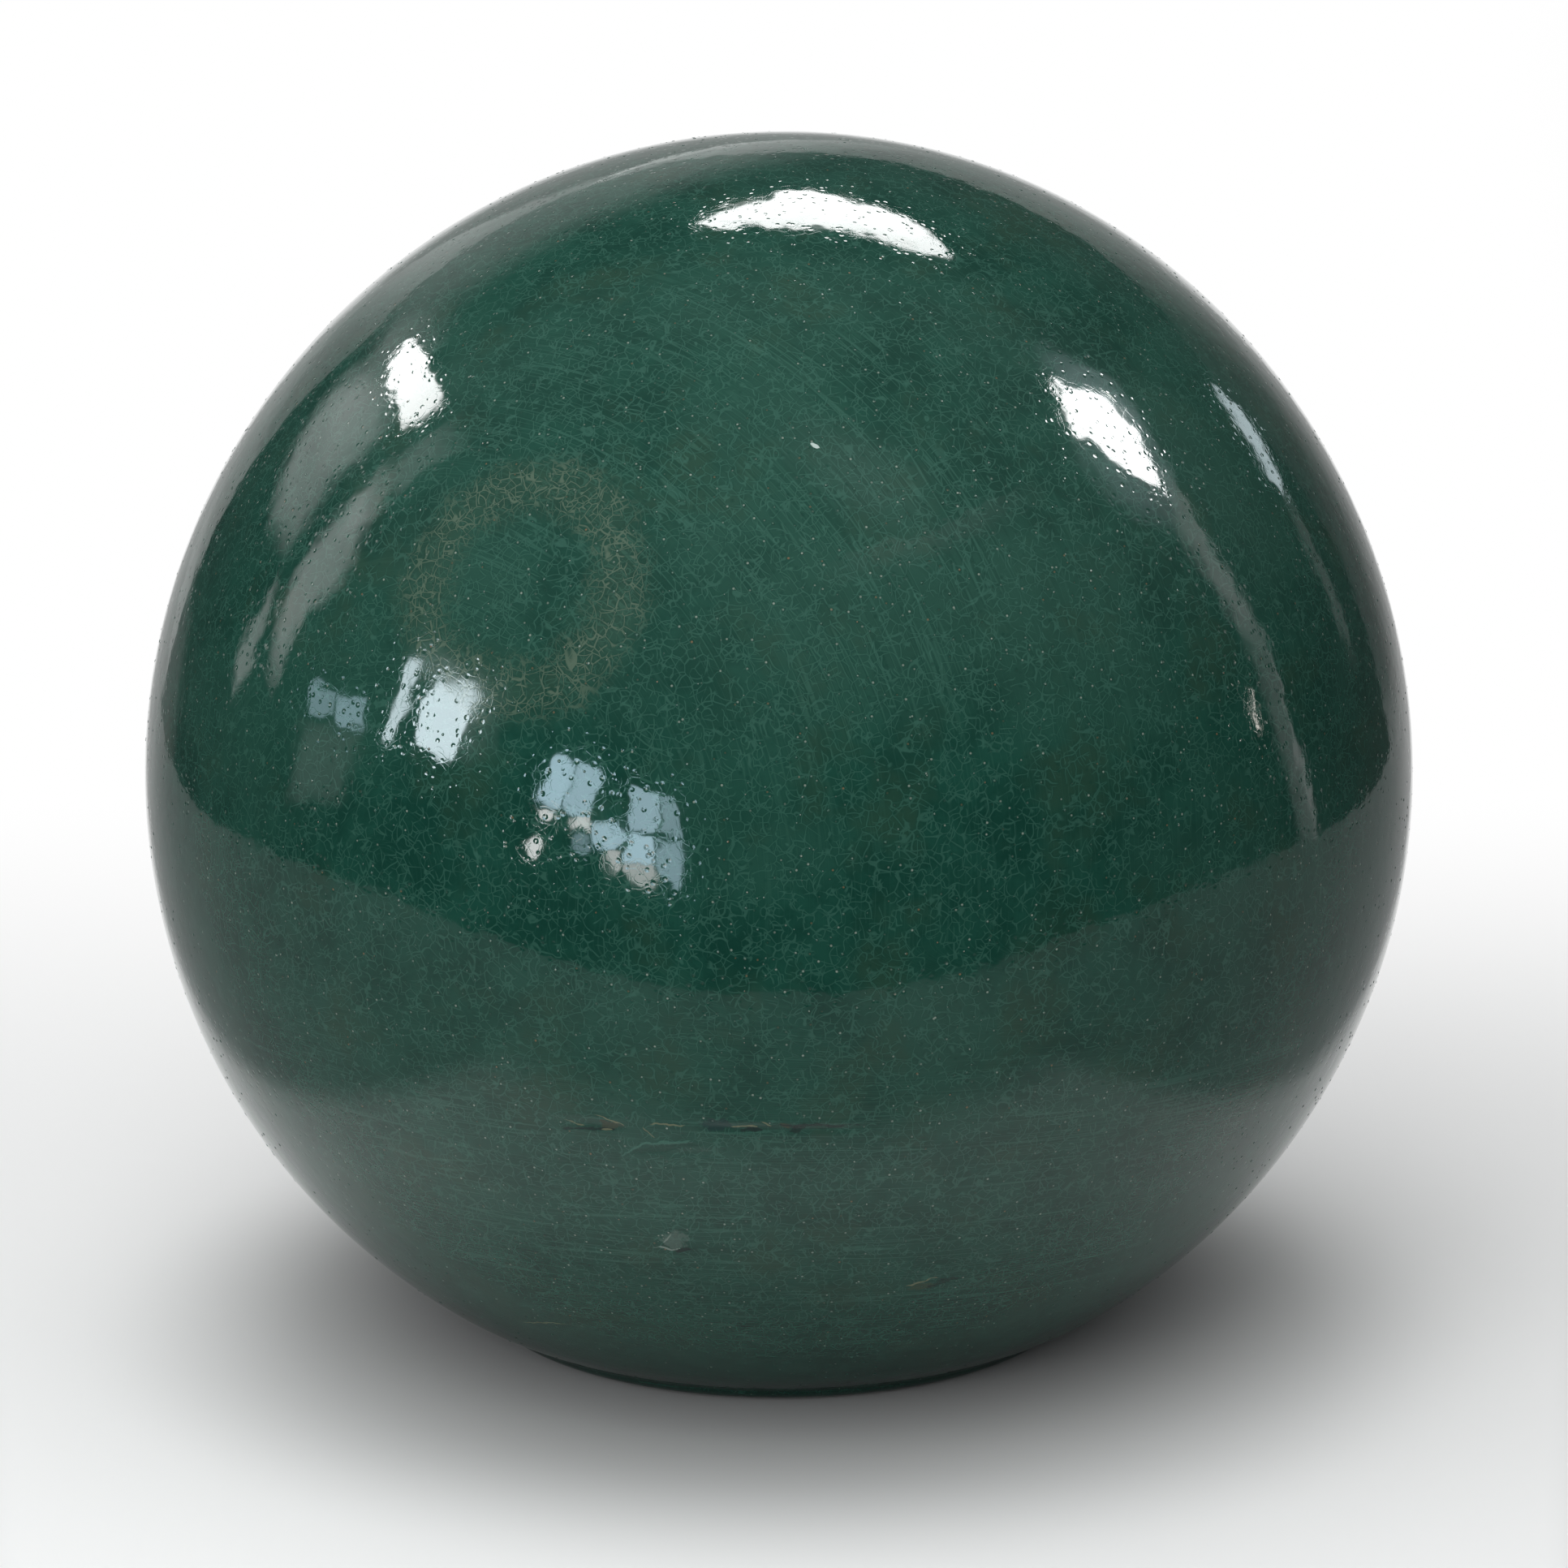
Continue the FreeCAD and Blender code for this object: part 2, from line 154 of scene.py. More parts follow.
path = [(FLOOR_FRONT + FLOOR_CORNER * share**2, 0.0) for share in np.linspace(0, 1, CORNER_ROWS)]
path += [(y, 0.0) for y in np.linspace(path[-1][0], BEND_START, FLOOR_ROWS)[1:]]
path += [
    (BEND_START + BEND_RADIUS * math.sin(turn), BEND_RADIUS * (1 - math.cos(turn)))
    for turn in np.linspace(0, math.pi / 2, BEND_ROWS)[1:]
]
path += [(BEND_START + BEND_RADIUS, z) for z in np.linspace(BEND_RADIUS, BACKDROP_TOP, BACKDROP_ROWS)[1:]]
sheet_points = []
for y, z in path:
    short = max(0.0, FLOOR_CORNER - (y - FLOOR_FRONT))
    half = FLOOR_HALF_WIDTH - FLOOR_CORNER + math.sqrt(max(0.0, FLOOR_CORNER**2 - short**2))
    for across in np.linspace(-1, 1, COLUMNS + 1):
        x = across * max(half, WIDENING[int(across > 0)] * y)
        corner = RAISED_CORNER * np.interp(x, RAISED_ACROSS, (0, 1)) ** 2
        climb = max(0.0, z - BEND_RADIUS) / (BACKDROP_TOP - BEND_RADIUS)
        sheet_points.append((x, y, z + corner * climb))
next_row = COLUMNS + 1
sheet_faces = [
    (corner, corner + 1, corner + next_row + 1, corner + next_row)
    for row in range(len(path) - 1)
    for corner in range(row * next_row, row * next_row + COLUMNS)
]
sweep = new_piece("studio_sweep", sheet_points, sheet_faces)
sweep.data.polygons.foreach_set("use_smooth", [True] * len(sheet_faces))

sweep_material, tree = new_material("pale sweep")
place = node("ShaderNodeTexCoord").node.outputs["Object"]
place = node("ShaderNodeSeparateXYZ", {0: place}).node.outputs
sideways = maths("ABSOLUTE", place["X"])
spread = maths("MULTIPLY_ADD", place["Y"], -LANE_WIDENING, sideways)
lane = graded(place["Y"], *LANE_FRONT)
lane = maths("MULTIPLY", graded(spread, *LANE_EDGE), lane)
flat = node("ShaderNodeCombineXYZ", {0: place["X"], 1: place["Y"]})
from_foot = vectors("LENGTH", flat)
floor_tone = mixed(lane, OUTER_GREY, LANE_WHITE)
# Painted contact shadow: the floor darkens towards the foot.
floor_tone = mixed(graded(from_foot, *PAINTED_SHADOW_REACH), floor_tone, PAINTED_FOOT_SHADOW)
inputs = {"Base Color": floor_tone, "Roughness": PAPER_ROUGHNESS, "Specular IOR Level": PAPER_SHINE}
inputs |= {"Sheen Weight": PAPER_SHEEN, "Sheen Roughness": SHEEN_ROUGHNESS}
paper = node("ShaderNodeBsdfPrincipled", inputs)
ray = node("ShaderNodeLightPath").node.outputs
seen = maths("MAXIMUM", ray["Is Camera Ray"], ray["Is Glossy Ray"])
seen = maths("MAXIMUM", seen, ray["Is Transmission Ray"])
beside = maths("MAXIMUM", spread, LANE_EDGE[1])
reach = maths("MULTIPLY_ADD", beside, -WHITE_LATER, place["Y"])
lit_back = graded(from_foot, *WHITE_OFF_FOOT)
lit_back = maths("MULTIPLY", graded(reach, *WHITE_BACK), lit_back)
lit_back = maths("MULTIPLY", seen, lit_back)
dimming = graded(place["Z"], *DIM_UP)
dimming = maths("MINIMUM", dimming, graded(spread, *DIM_BESIDE))
dimming = maths("MULTIPLY", dimming, graded(place["X"], *DIM_RIGHT))
white = node("ShaderNodeEmission", {"Strength": dimming})
surface = node("ShaderNodeMixShader", {0: lit_back, 1: paper, 2: white})
node("ShaderNodeOutputMaterial", {"Surface": surface})
sweep.data.materials.append(sweep_material)

# The dim room round the sweep: lighter overhead, and kept dark behind the ball.
LOW_ROOM, HIGH_ROOM = (0.055, 0.061, 0.061, 1), (0.31, 0.32, 0.32, 1)
ROOM_RISE, ROOM_BACK = (0.05, 0.75), (0.15, 0.60, 1.0, 0.15)
world = bpy.data.worlds.new("studio_room")
world.use_nodes = True
tree = world.node_tree
tree.nodes.clear()
heading = node("ShaderNodeSeparateXYZ", {0: node("ShaderNodeTexCoord")}).node.outputs
height_share = graded(heading["Z"], *ROOM_RISE)
lit_share = maths("MULTIPLY", height_share, graded(heading["Y"], *ROOM_BACK))
room = mixed(lit_share, LOW_ROOM, HIGH_ROOM)
node("ShaderNodeOutputWorld", {"Surface": node("ShaderNodeBackground", {"Color": room})})
bpy.context.scene.world = world


# Bare clay
# The bowl, the dome and the coil behind their seam are thrown from buff stoneware with fine iron specks. The
# clay shows at the foot, in the shallow recess under it and inside, with the rings that the thrower's fingers
# left.
BUFF, PALE_BUFF, IRON = (0.42, 0.31, 0.20, 1), (0.56, 0.44, 0.31, 1), (0.10, 0.055, 0.03, 1)
GRIT_BROWN, RING_BROWN = (0.28, 0.19, 0.12, 1), (0.30, 0.20, 0.12, 1)
# How many clouds, grains and specks there are to a millimetre, and how fast ring follows ring.
CLAY_CLOUDS, CLAY_GRIT, CLAY_SPECKS, FINGER_RINGS = 0.05, 1.7, 0.22, 2.1
# How far the rings drift with the clouds, in millimetres, and how much they follow the height.
RING_DRIFT, RING_CLIMB = 6.0, 0.9
# Relief of the rings and of the grit, in millimetres.
RING_RELIEF, GRIT_RELIEF = 0.035, 0.12
# What share of each pattern shows, and how dry the clay is, as (from, to) or (from, to, least, most).
CLOUD_PART, GRIT_PART, DRYNESS = (0.35, 0.65), (0.60, 0.72, 0, 0.35), (0.3, 0.7, 0.78, 0.95)
SPECK_PART, RING_PART, CLAY_SHINE = (0.09, 0.05, 0, 0.85), (0.5, 1, 0, 0.18), 0.3


def in_millimetres():
    """The place on the piece, in millimetres."""
    place = node("ShaderNodeTexCoord").node.outputs["Object"]
    return vectors("SCALE", place, 1000.0)


def with_relief(height):
    """The surface's direction with that relief, in millimetres, on it."""
    return node("ShaderNodeBump", {"Strength": 1.0, "Distance": 0.001, "Height": height})


def finish(**inputs):
    """The shader of the material at hand, with underscores for the spaces in its inputs' names."""
    inputs = {name.replace("_", " "): value for name, value in inputs.items()}
    shader = node("ShaderNodeBsdfPrincipled", inputs)
    node("ShaderNodeOutputMaterial", {"Surface": shader})


clay, tree = new_material("buff stoneware")
place = in_millimetres()
parts = node("ShaderNodeSeparateXYZ", {0: place}).node.outputs
flat = node("ShaderNodeCombineXYZ", {0: parts["X"], 1: parts["Y"]})
out_from_axis = vectors("LENGTH", flat)
cloud = node("ShaderNodeTexNoise", {"Vector": place, "Scale": CLAY_CLOUDS, "Detail": 5.0})
tone = mixed(graded(cloud, *CLOUD_PART), BUFF, PALE_BUFF)
grit = node("ShaderNodeTexNoise", {"Vector": place, "Scale": CLAY_GRIT, "Detail": 3.0, "Roughness": 0.7})
tone = mixed(graded(grit, *GRIT_PART), tone, GRIT_BROWN)
speck = node("ShaderNodeTexVoronoi", {"Vector": place, "Scale": CLAY_SPECKS}).node.outputs["Distance"]
tone = mixed(graded(speck, *SPECK_PART), tone, IRON)
drift = maths("MULTIPLY", cloud, RING_DRIFT)
rings = maths("ADD", out_from_axis, maths("MULTIPLY", parts["Z"], RING_CLIMB))
rings = maths("SINE", maths("MULTIPLY", maths("ADD", rings, drift), FINGER_RINGS))
tone = mixed(graded(rings, *RING_PART), tone, RING_BROWN)
relief = maths("MULTIPLY", rings, RING_RELIEF)
relief = maths("MULTIPLY_ADD", grit, GRIT_RELIEF, relief)
dryness = graded(grit, *DRYNESS)
finish(Base_Color=tone, Roughness=dryness, Normal=with_relief(relief), Specular_IOR_Level=CLAY_SHINE)
for name in ("lower_bowl", "upper_dome", "seam_coil"):
    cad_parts[name].material_slots[0].material = clay


# Joint slip
# A thin ring of darker liquid clay that glued the two halves together before the firing. It is smoother than
# the clay and cracked a little as it dried.
SLIP_BROWN, PALE_SLIP, CRACK_BROWN = (0.20, 0.13, 0.085, 1), (0.31, 0.22, 0.15, 1), (0.07, 0.045, 0.03, 1)
# How many clouds and cracked plates there are to a millimetre, and how deep the cracks are in millimetres.
SLIP_CLOUDS, SLIP_PLATES, SLIP_CRACK_DEPTH = 0.12, 0.35, 0.08
PALE_PART, SLIP_DRYNESS = (0.3, 0.7), (0.3, 0.7, 0.62, 0.8)
CRACK_PART, CRACK_EDGE = (0.05, 0.01, 0, 0.8), 0.06

slip, tree = new_material("dark slip")
place = in_millimetres()
cloud = node("ShaderNodeTexNoise", {"Vector": place, "Scale": SLIP_CLOUDS, "Detail": 4.0})
tone = mixed(graded(cloud, *PALE_PART), SLIP_BROWN, PALE_SLIP)
plates = {"Vector": place, "Scale": SLIP_PLATES}
plates = node("ShaderNodeTexVoronoi", plates, feature="DISTANCE_TO_EDGE")
tone = mixed(graded(plates, *CRACK_PART), tone, CRACK_BROWN)
relief = graded(plates, 0, CRACK_EDGE, 0, SLIP_CRACK_DEPTH)
finish(Base_Color=tone, Roughness=graded(cloud, *SLIP_DRYNESS), Normal=with_relief(relief))
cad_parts["joint_slip"].material_slots[0].material = slip


# Glaze skin
# A glass skin half a millimetre thick over the whole outside, poured on and fired, that rolls into a bead
# where it stops at the foot. It follows the thrown clay: a little out of round, faintly ribbed, and torn
# along the old seam.
CLAY_RADIUS, GLAZE_STOP, SKIN_RISE, GLAZE_INDEX = 0.1494, 0.0008, 0.00045, 1.42
BEAD_WIDTH, BEAD_RADIUS, BEAD_ROWS, INNER_ROWS = 0.009, 0.0095, 9, 24
SEAM_DROP, SEAM_BAND = 0.047, 0.0085
# Faces round the ball, and the step from ring to ring, which is finer near the seam.
TURNS, RING_STEP, SEAM_RING_STEP = 400, 0.0024, 0.0006
# The rings end this angle above the bead, and the swellings fade out over this angle.
BEAD_GAP, FADE = 0.02, 0.10
# Swellings of the throwing, as (angle round the picture from the right towards the top, millimetres out).
SWELLINGS = ((-60, 0.35), (-142, 0.65), (145, -0.80), (72, 0.55), (22, -0.58))
SWELLING_SPREAD = math.radians(17)


def polar_point(radius, polar):
    """A point of the upright section: out from the axis and up, for an angle down from the top."""
    return np.array([radius * math.sin(polar), BALL_MIDDLE.z + radius * math.cos(polar)])


def picture_way(right, up, out):
    """The way from the ball's middle that points so far right, up and towards the camera in the picture."""
    return (Vector((right, 0, 0)) + up * picture_up + out * towards_camera).normalized()


glaze_end_polar = math.acos((GLAZE_STOP - BALL_MIDDLE.z) / CLAY_RADIUS)
glaze_end = polar_point(CLAY_RADIUS, glaze_end_polar)
bead_top_polar = glaze_end_polar - math.atan(BEAD_WIDTH / BALL_RADIUS)
bead_top = polar_point(BALL_RADIUS, bead_top_polar)
chord = (glaze_end + bead_top) / 2
inwards = np.array([0, BALL_MIDDLE.z]) - chord
inwards /= np.linalg.norm(inwards)
bead_middle = chord + inwards * math.sqrt(BEAD_RADIUS**2 - (BEAD_WIDTH / 2) ** 2)

seam_polar = math.acos(-SEAM_DROP / BALL_RADIUS)
outer_polars = [RING_STEP / BALL_RADIUS]
while outer_polars[-1] < bead_top_polar - BEAD_GAP:
    near_seam = abs(outer_polars[-1] - seam_polar) < SEAM_BAND / BALL_RADIUS
    outer_polars.append(outer_polars[-1] + (SEAM_RING_STEP if near_seam else RING_STEP) / BALL_RADIUS)
inner_polars = np.linspace(glaze_end_polar, 0, INNER_ROWS)[1:-1]
bead_from = math.atan2(*(bead_top - bead_middle)[::-1])
bead_to = math.atan2(*(glaze_end - bead_middle)[::-1])
section = [polar_point(BALL_RADIUS, polar) for polar in outer_polars]
for turn in np.linspace(bead_from, bead_to, BEAD_ROWS):
    section.append(bead_middle + BEAD_RADIUS * np.array([math.cos(turn), math.sin(turn)]))
section += [polar_point(CLAY_RADIUS, polar) for polar in inner_polars]
radii, heights = np.array(section).T
turns = np.linspace(0, 2 * math.pi, TURNS, endpoint=False)
levels = np.repeat(heights[:, None], TURNS, 1)
skin_points = np.stack([np.outer(radii, np.cos(turns)), np.outer(radii, np.sin(turns)), levels], -1)
outside = (np.arange(len(section)) < len(outer_polars))[:, None]

# Out of round: each swelling is a broad rise or hollow on the ball's edge as the camera sees it.
from_middle = skin_points - np.array(BALL_MIDDLE)
direction = from_middle / np.linalg.norm(from_middle, axis=-1, keepdims=True)
rise = np.full(direction.shape[:2], SKIN_RISE)
for angle, height in SWELLINGS:
    towards = picture_way(math.cos(math.radians(angle)), math.sin(math.radians(angle)), 0)
    away = np.arccos(np.clip(direction @ np.array(towards), -1, 1))
    rise += height * 0.001 * np.exp(-((away / SWELLING_SPREAD) ** 2) / 2)

# Torn seam: short grooves where the join of the two halves opened under the glaze, as
# (degrees round from the front, half-length, height from the seam, half-width, depth), in millimetres.
TEARS = (
    (-16.0, 7.5, -0.2, 0.80, 0.22),
    (-3.2, 7.0, 0.7, 0.60, 0.30),
    (3.2, 9.0, 0.5, 0.55, 0.24),
    (-8.7, 12.0, -5.7, 0.80, 0.09),
)
# The seam's radius in millimetres, how far a tear wavers and how often, and the raised lip over it, as a
# share of its depth and in half-widths up.
SEAM_REACH, WAVER, WAVERS, LIP, LIP_UP = 142.5, 0.35, 0.9, 0.35, 2.2
along_seam = np.arctan2(direction[..., 0], -direction[..., 1]) * SEAM_REACH
above_seam = (skin_points[..., 2] - (BALL_MIDDLE.z - SEAM_DROP)) * 1000
for place_round, half_length, height, half_width, depth in TEARS:
    along = (along_seam - math.radians(place_round) * SEAM_REACH) / half_length
    up = (above_seam - height - WAVER * np.sin(along_seam * WAVERS)) / half_width
    cut = np.exp(-(up**2)) - LIP * np.exp(-((up - LIP_UP) ** 2))
    rise -= depth * 0.001 * cut * np.clip(1 - along**2, 0, 1)

fade = np.clip((bead_top_polar - np.arccos(np.clip(direction[..., 2], -1, 1))) / FADE, 0, 1)
weight = outside * fade**2 * (3 - 2 * fade)
skin_points += direction * (rise * weight)[..., None]
poles = [(0, 0, BALL_MIDDLE.z + BALL_RADIUS + rise[0].mean()), (0, 0, BALL_MIDDLE.z + CLAY_RADIUS)]
last_ring = (len(section) - 1) * TURNS
top, under_top = last_ring + TURNS, last_ring + TURNS + 1
following = [(i + 1) % TURNS for i in range(TURNS)]
skin_faces = [
    (ring + i, ring + TURNS + i, ring + TURNS + following[i], ring + following[i])
    for ring in range(0, last_ring, TURNS)
    for i in range(TURNS)
]
skin_faces += [(top, i, following[i]) for i in range(TURNS)]
skin_faces += [(under_top, last_ring + following[i], last_ring + i) for i in range(TURNS)]
glaze_skin = new_piece("glaze_skin", list(skin_points.reshape(-1, 3)) + poles, skin_faces)
glaze_skin.data.polygons.foreach_set("use_smooth", [True] * len(skin_faces))
open_skin = glaze_skin.data.attributes.new("open_skin", "FLOAT", "POINT")
open_skin.data.foreach_set("value", list(weight.ravel()) + [1.0, 0.0])

# The glaze's colours, from its deepest green to where it lies thin, and the stains in its cracks, whose pale
# colour also paints the highlight along the turning grooves.
DEEP, TEAL = (0.0044, 0.036, 0.025, 1), (0.0083, 0.053, 0.037, 1)
THIN, OLIVE = (0.017, 0.065, 0.047, 1), (0.018, 0.049, 0.031, 1)
CRAZE_AND_GROOVE_HIGHLIGHT, STAIN, TAN_CRACK = (0.044, 0.132, 0.100, 1), (0.031, 0.062, 0.040, 1), (0.108, 0.155, 0.110, 1)

glaze, tree = new_material("teal crazed glaze")
place = node("ShaderNodeTexCoord").node.outputs["Object"]
place = vectors("SCALE", vectors("SUBTRACT", place, BALL_MIDDLE), 1000.0)
way = vectors("NORMALIZE", place)
parts = node("ShaderNodeSeparateXYZ", {0: place}).node.outputs


def noise(size, detail, roughness, shift):
    """Soft random pattern with lumps about that many millimetres wide, moved off so that it is its own."""
    moved_place = vectors("ADD", place, (shift, -2 * shift, 3 * shift))
    inputs = {"Vector": moved_place, "Scale": 1 / size, "Detail": detail, "Roughness": roughness}
    return node("ShaderNodeTexNoise", inputs)


def wandering(size, reach, shift):
    """The place led astray by about that many millimetres, in lumps of that size."""
    stray = noise(size, 0.0, 0.5, shift).node.outputs["Color"]
    stray = vectors("SCALE", vectors("SUBTRACT", stray, (0.5, 0.5, 0.5)), 4.0 * reach)
    return vectors("ADD", place, stray)


def cracks(size, at, width, kept, disorder=1.0):
    """Lines of that half-width round cells of that size where kept is 1, and the wider shade along them."""
    inputs = {"Vector": at, "Scale": 1 / size, "Randomness": disorder}
    cells = node("ShaderNodeTexVoronoi", inputs, feature="DISTANCE_TO_EDGE")
    line = graded(cells, width / size, 0.25 * width / size)
    shade = graded(cells, 3 * width / size, 0)
    return maths("MULTIPLY", line, kept), maths("MULTIPLY", shade, kept)


def engraved(below, lines, shades, pale, pale_share, dark_share):
    """The tone with shaded pale lines over it."""
    below = mixed(maths("MULTIPLY", shades, dark_share), below, DEEP)
    return mixed(maths("MULTIPLY", lines, pale_share), below, pale)


def arc_from(axis):
    """Millimetres along the skin from where that axis leaves the ball."""
    angle = maths("ARCCOSINE", vectors("DOT_PRODUCT", way, axis))
    return maths("MULTIPLY", angle, 1000 * BALL_RADIUS)


# Clouds of colour. Each soft pattern here and below is (size in millimetres, detail, roughness, shift), and
# each share of it is (from, to) or (from, to, least, most).
MOTTLE, CLOUD, PATCH = (13, 4.0, 0.65, 17), (48, 2.0, 0.5, 41), (21, 3.0, 0.6, 93)
TEAL_SHARE, THIN_SHARE, OLIVE_SHARE = (0.34, 0.64), (0.44, 0.70, 0, 0.60), (0.50, 0.70, 0, 0.60)
mottle = noise(*MOTTLE)
tone = mixed(graded(mottle, *TEAL_SHARE), DEEP, TEAL)
tone = mixed(graded(noise(*CLOUD), *THIN_SHARE), tone, THIN)
tone = mixed(graded(noise(*PATCH), *OLIVE_SHARE), tone, OLIVE)

# Turning marks: slanting arcs on the upper part, round a way that points left and down, and level ones below.
ARCS_ROUND, ARCS_MIDDLE = picture_way(-0.55, -0.15, 0.82), picture_way(-0.06, 0.40, 0.91)
ARCS_END, LEVEL_FROM = (0.86, 0.965), (-5.0, -45.0)
# Strokes to a millimetre, level strokes to a millimetre, and the length of a stroke in millimetres.
STROKES, LEVEL_STROKES, STROKE_LENGTH = 0.48, 0.62, 50
WEAR, WORN, LEAST_WORN = (24, 1.0, 0.5, 57), (0.34, 0.54, 0.30, 1.0), 0.30
# Half the width of a stroke's groove and of the painted shade beside it, in shares of the pattern, and how
# strongly the painted highlight along the groove and that shade show.
GROOVE, SHADE_BESIDE, SHADE, STROKES_SHOW = (0.034, 0.008), 0.08, (0.07, 0.0), (0.36, 0.50)
height = parts["Z"]
low = graded(height, *LEVEL_FROM)
across_marks = maths("MULTIPLY", arc_from(ARCS_ROUND), STROKES)
finer = maths("SUBTRACT", maths("MULTIPLY", height, LEVEL_STROKES), across_marks)
across_marks = maths("MULTIPLY_ADD", low, finer, across_marks)
steep = node("ShaderNodeCombineXYZ", {0: across_marks, 1: across_marks})
along_marks = vectors("ADD", vectors("SCALE", place, 1 / STROKE_LENGTH), steep)
turning = node("ShaderNodeTexNoise", {"Vector": along_marks, "Scale": 1.0, "Detail": 0.0})
sector = graded(vectors("DOT_PRODUCT", way, ARCS_MIDDLE), *ARCS_END)
sector = maths("MAXIMUM", maths("MAXIMUM", sector, low), LEAST_WORN)
worn = maths("MULTIPLY", graded(noise(*WEAR), *WORN), sector)
off_groove = maths("SUBTRACT", turning, 0.5)
groove = graded(maths("ABSOLUTE", off_groove), *GROOVE)
groove = maths("MULTIPLY", groove, worn)
painted_lee_shade = maths("ABSOLUTE", maths("ADD", off_groove, SHADE_BESIDE))
painted_lee_shade = maths("MULTIPLY", graded(painted_lee_shade, *SHADE), worn)
# Each groove is painted as a pale highlight line, with painted shade along one side of it.
tone = engraved(tone, groove, painted_lee_shade, CRAZE_AND_GROOVE_HIGHLIGHT, *STROKES_SHOW)

# Craze: two broken nets of pale hairlines, as (cell, half-width, wandering, the pattern that breaks it), and
# loose curls.
NETS = (
    (2.5, 0.14, (2.8, 0.45, 22), (3.2, 0.0, 0.5, 55)),
    (3.5, 0.15, (4.0, 0.60, 64), (3.8, 0.0, 0.5, 15)),
)
BROKEN, CRAZE_SHOWS = (0.40, 0.52), (0.40, 0.42)
LOOPS, LOOP_LINE, CURLS, CURLS_KEPT = (2.4, 0.0, 0.5, 77), (0.036, 0.008), (3, 0.0, 0.5, 33), (0.50, 0.58)
hairlines, hair_shade = 0.0, 0.0
for cell, half_width, wander, breaks in NETS:
    kept = graded(noise(*breaks), *BROKEN)
    line, shade = cracks(cell, wandering(*wander), half_width, kept)
    hairlines = maths("MAXIMUM", line, hairlines)
    hair_shade = maths("MAXIMUM", shade, hair_shade)
loop = maths("ABSOLUTE", maths("SUBTRACT", noise(*LOOPS), 0.5))
curls = graded(noise(*CURLS), *CURLS_KEPT)
curls = maths("MULTIPLY", graded(loop, *LOOP_LINE), curls)
hairlines = maths("MAXIMUM", hairlines, curls)
tone = engraved(tone, hairlines, hair_shade, CRAZE_AND_GROOVE_HIGHLIGHT, *CRAZE_SHOWS)

# The stained ring: a wavering band of dense cracks that took up tan dirt.
STAIN_TOWARDS, STAIN_RADIUS, STAIN_HALF_WIDTH = Vector((-0.358, -0.828, 0.431)).normalized(), 22.4, 7.5
RING_WAVER, WAVER_REACH, STAIN_SHARE = (8, 2.0, 0.5, 61), 7.0, 0.32
# How far the stain and the cracks go past the half-width, and from where on the cracks are whole.
STAIN_PAST, CRACKS_PAST, CRACKS_WHOLE = 2.5, 1.5, 1.5
# The ring's nets as (cell, shift), their half-width and disorder, and how they wander and break.
RING_NETS, CRACK_HALF_WIDTH, CRACK_DISORDER = ((2.7, 88), (3.3, 12), (4.0, 47)), 0.135, 0.70
CRACK_LUMPS, CRACK_WANDER, CRACK_BREAKS, CRACKS_KEPT = 4.5, 2.4, 2.8, (0.40, 0.50)
CRACKS_SHOW = (0.58, 0.66)
arc = arc_from(STAIN_TOWARDS)
ring_edge = maths("MULTIPLY_ADD", noise(*RING_WAVER), WAVER_REACH, arc)
off_ring = maths("ABSOLUTE", maths("SUBTRACT", ring_edge, STAIN_RADIUS + WAVER_REACH / 2))
ring = graded(off_ring, STAIN_HALF_WIDTH + STAIN_PAST, 0.0)
tone = mixed(maths("MULTIPLY", ring, STAIN_SHARE), tone, STAIN)
in_band = graded(off_ring, STAIN_HALF_WIDTH + CRACKS_PAST, CRACKS_WHOLE)
ring_right = STAIN_TOWARDS.cross(Vector((0, 0, 1))).normalized()
ring_up = ring_right.cross(STAIN_TOWARDS)
compass = [vectors("DOT_PRODUCT", way, axis) for axis in (ring_right, ring_up)]
round_ring = maths("MULTIPLY", maths("ARCTAN2", *compass), STAIN_RADIUS)
dense, dense_shade = 0.0, 0.0
for cell, shift in RING_NETS:
    stray = noise(CRACK_LUMPS, 0.0, 0.5, shift).node.outputs["Color"]
    square = node("ShaderNodeCombineXYZ", {0: arc, 1: round_ring, 2: shift})
    square = vectors("ADD", square, vectors("SCALE", stray, CRACK_WANDER))
    kept = graded(noise(CRACK_BREAKS, 0.0, 0.5, shift + 5), *CRACKS_KEPT)
    kept = maths("MULTIPLY", in_band, kept)
    line, shade = cracks(cell, square, CRACK_HALF_WIDTH, kept, CRACK_DISORDER)
    dense = maths("MAXIMUM", line, dense)
    dense_shade = maths("MAXIMUM", shade, dense_shade)
tone = engraved(tone, dense, dense_shade, TAN_CRACK, *CRACKS_SHOW)

# Specks: little burst bubbles in the glass, milky or rusty at the heart, one to a cell, each in a sunk dimple
# with painted shade in it.
MILKY, RUSTY = (0.29, 0.35, 0.30, 1), (0.20, 0.13, 0.07, 1)
SPECK_CELL, SPECK, DIMPLE, PAINTED_DIMPLE_SHADE = 2.2, (0.34, 0.12), (0.68, 0.16), 0.55
RUSTY_FROM, SPECK_SHARE = (0.80, 0.84), (0.15, 1.0, 0.0, 0.65)
bubbles = node("ShaderNodeTexVoronoi", {"Vector": place, "Scale": 1 / SPECK_CELL}).node.outputs
from_speck = maths("MULTIPLY", bubbles["Distance"], SPECK_CELL)
lot = node("ShaderNodeSeparateColor", {0: bubbles["Color"]}).node.outputs
dimple = graded(from_speck, *DIMPLE)
# Painted shade: the dimple round each speck is darkened towards the deepest green.
tone = mixed(maths("MULTIPLY", dimple, PAINTED_DIMPLE_SHADE), tone, DEEP)
heart = mixed(graded(lot["Red"], *RUSTY_FROM), MILKY, RUSTY)
speck = graded(lot["Green"], *SPECK_SHARE)
speck = maths("MULTIPLY", graded(from_speck, *SPECK), speck)
tone = mixed(speck, tone, heart)
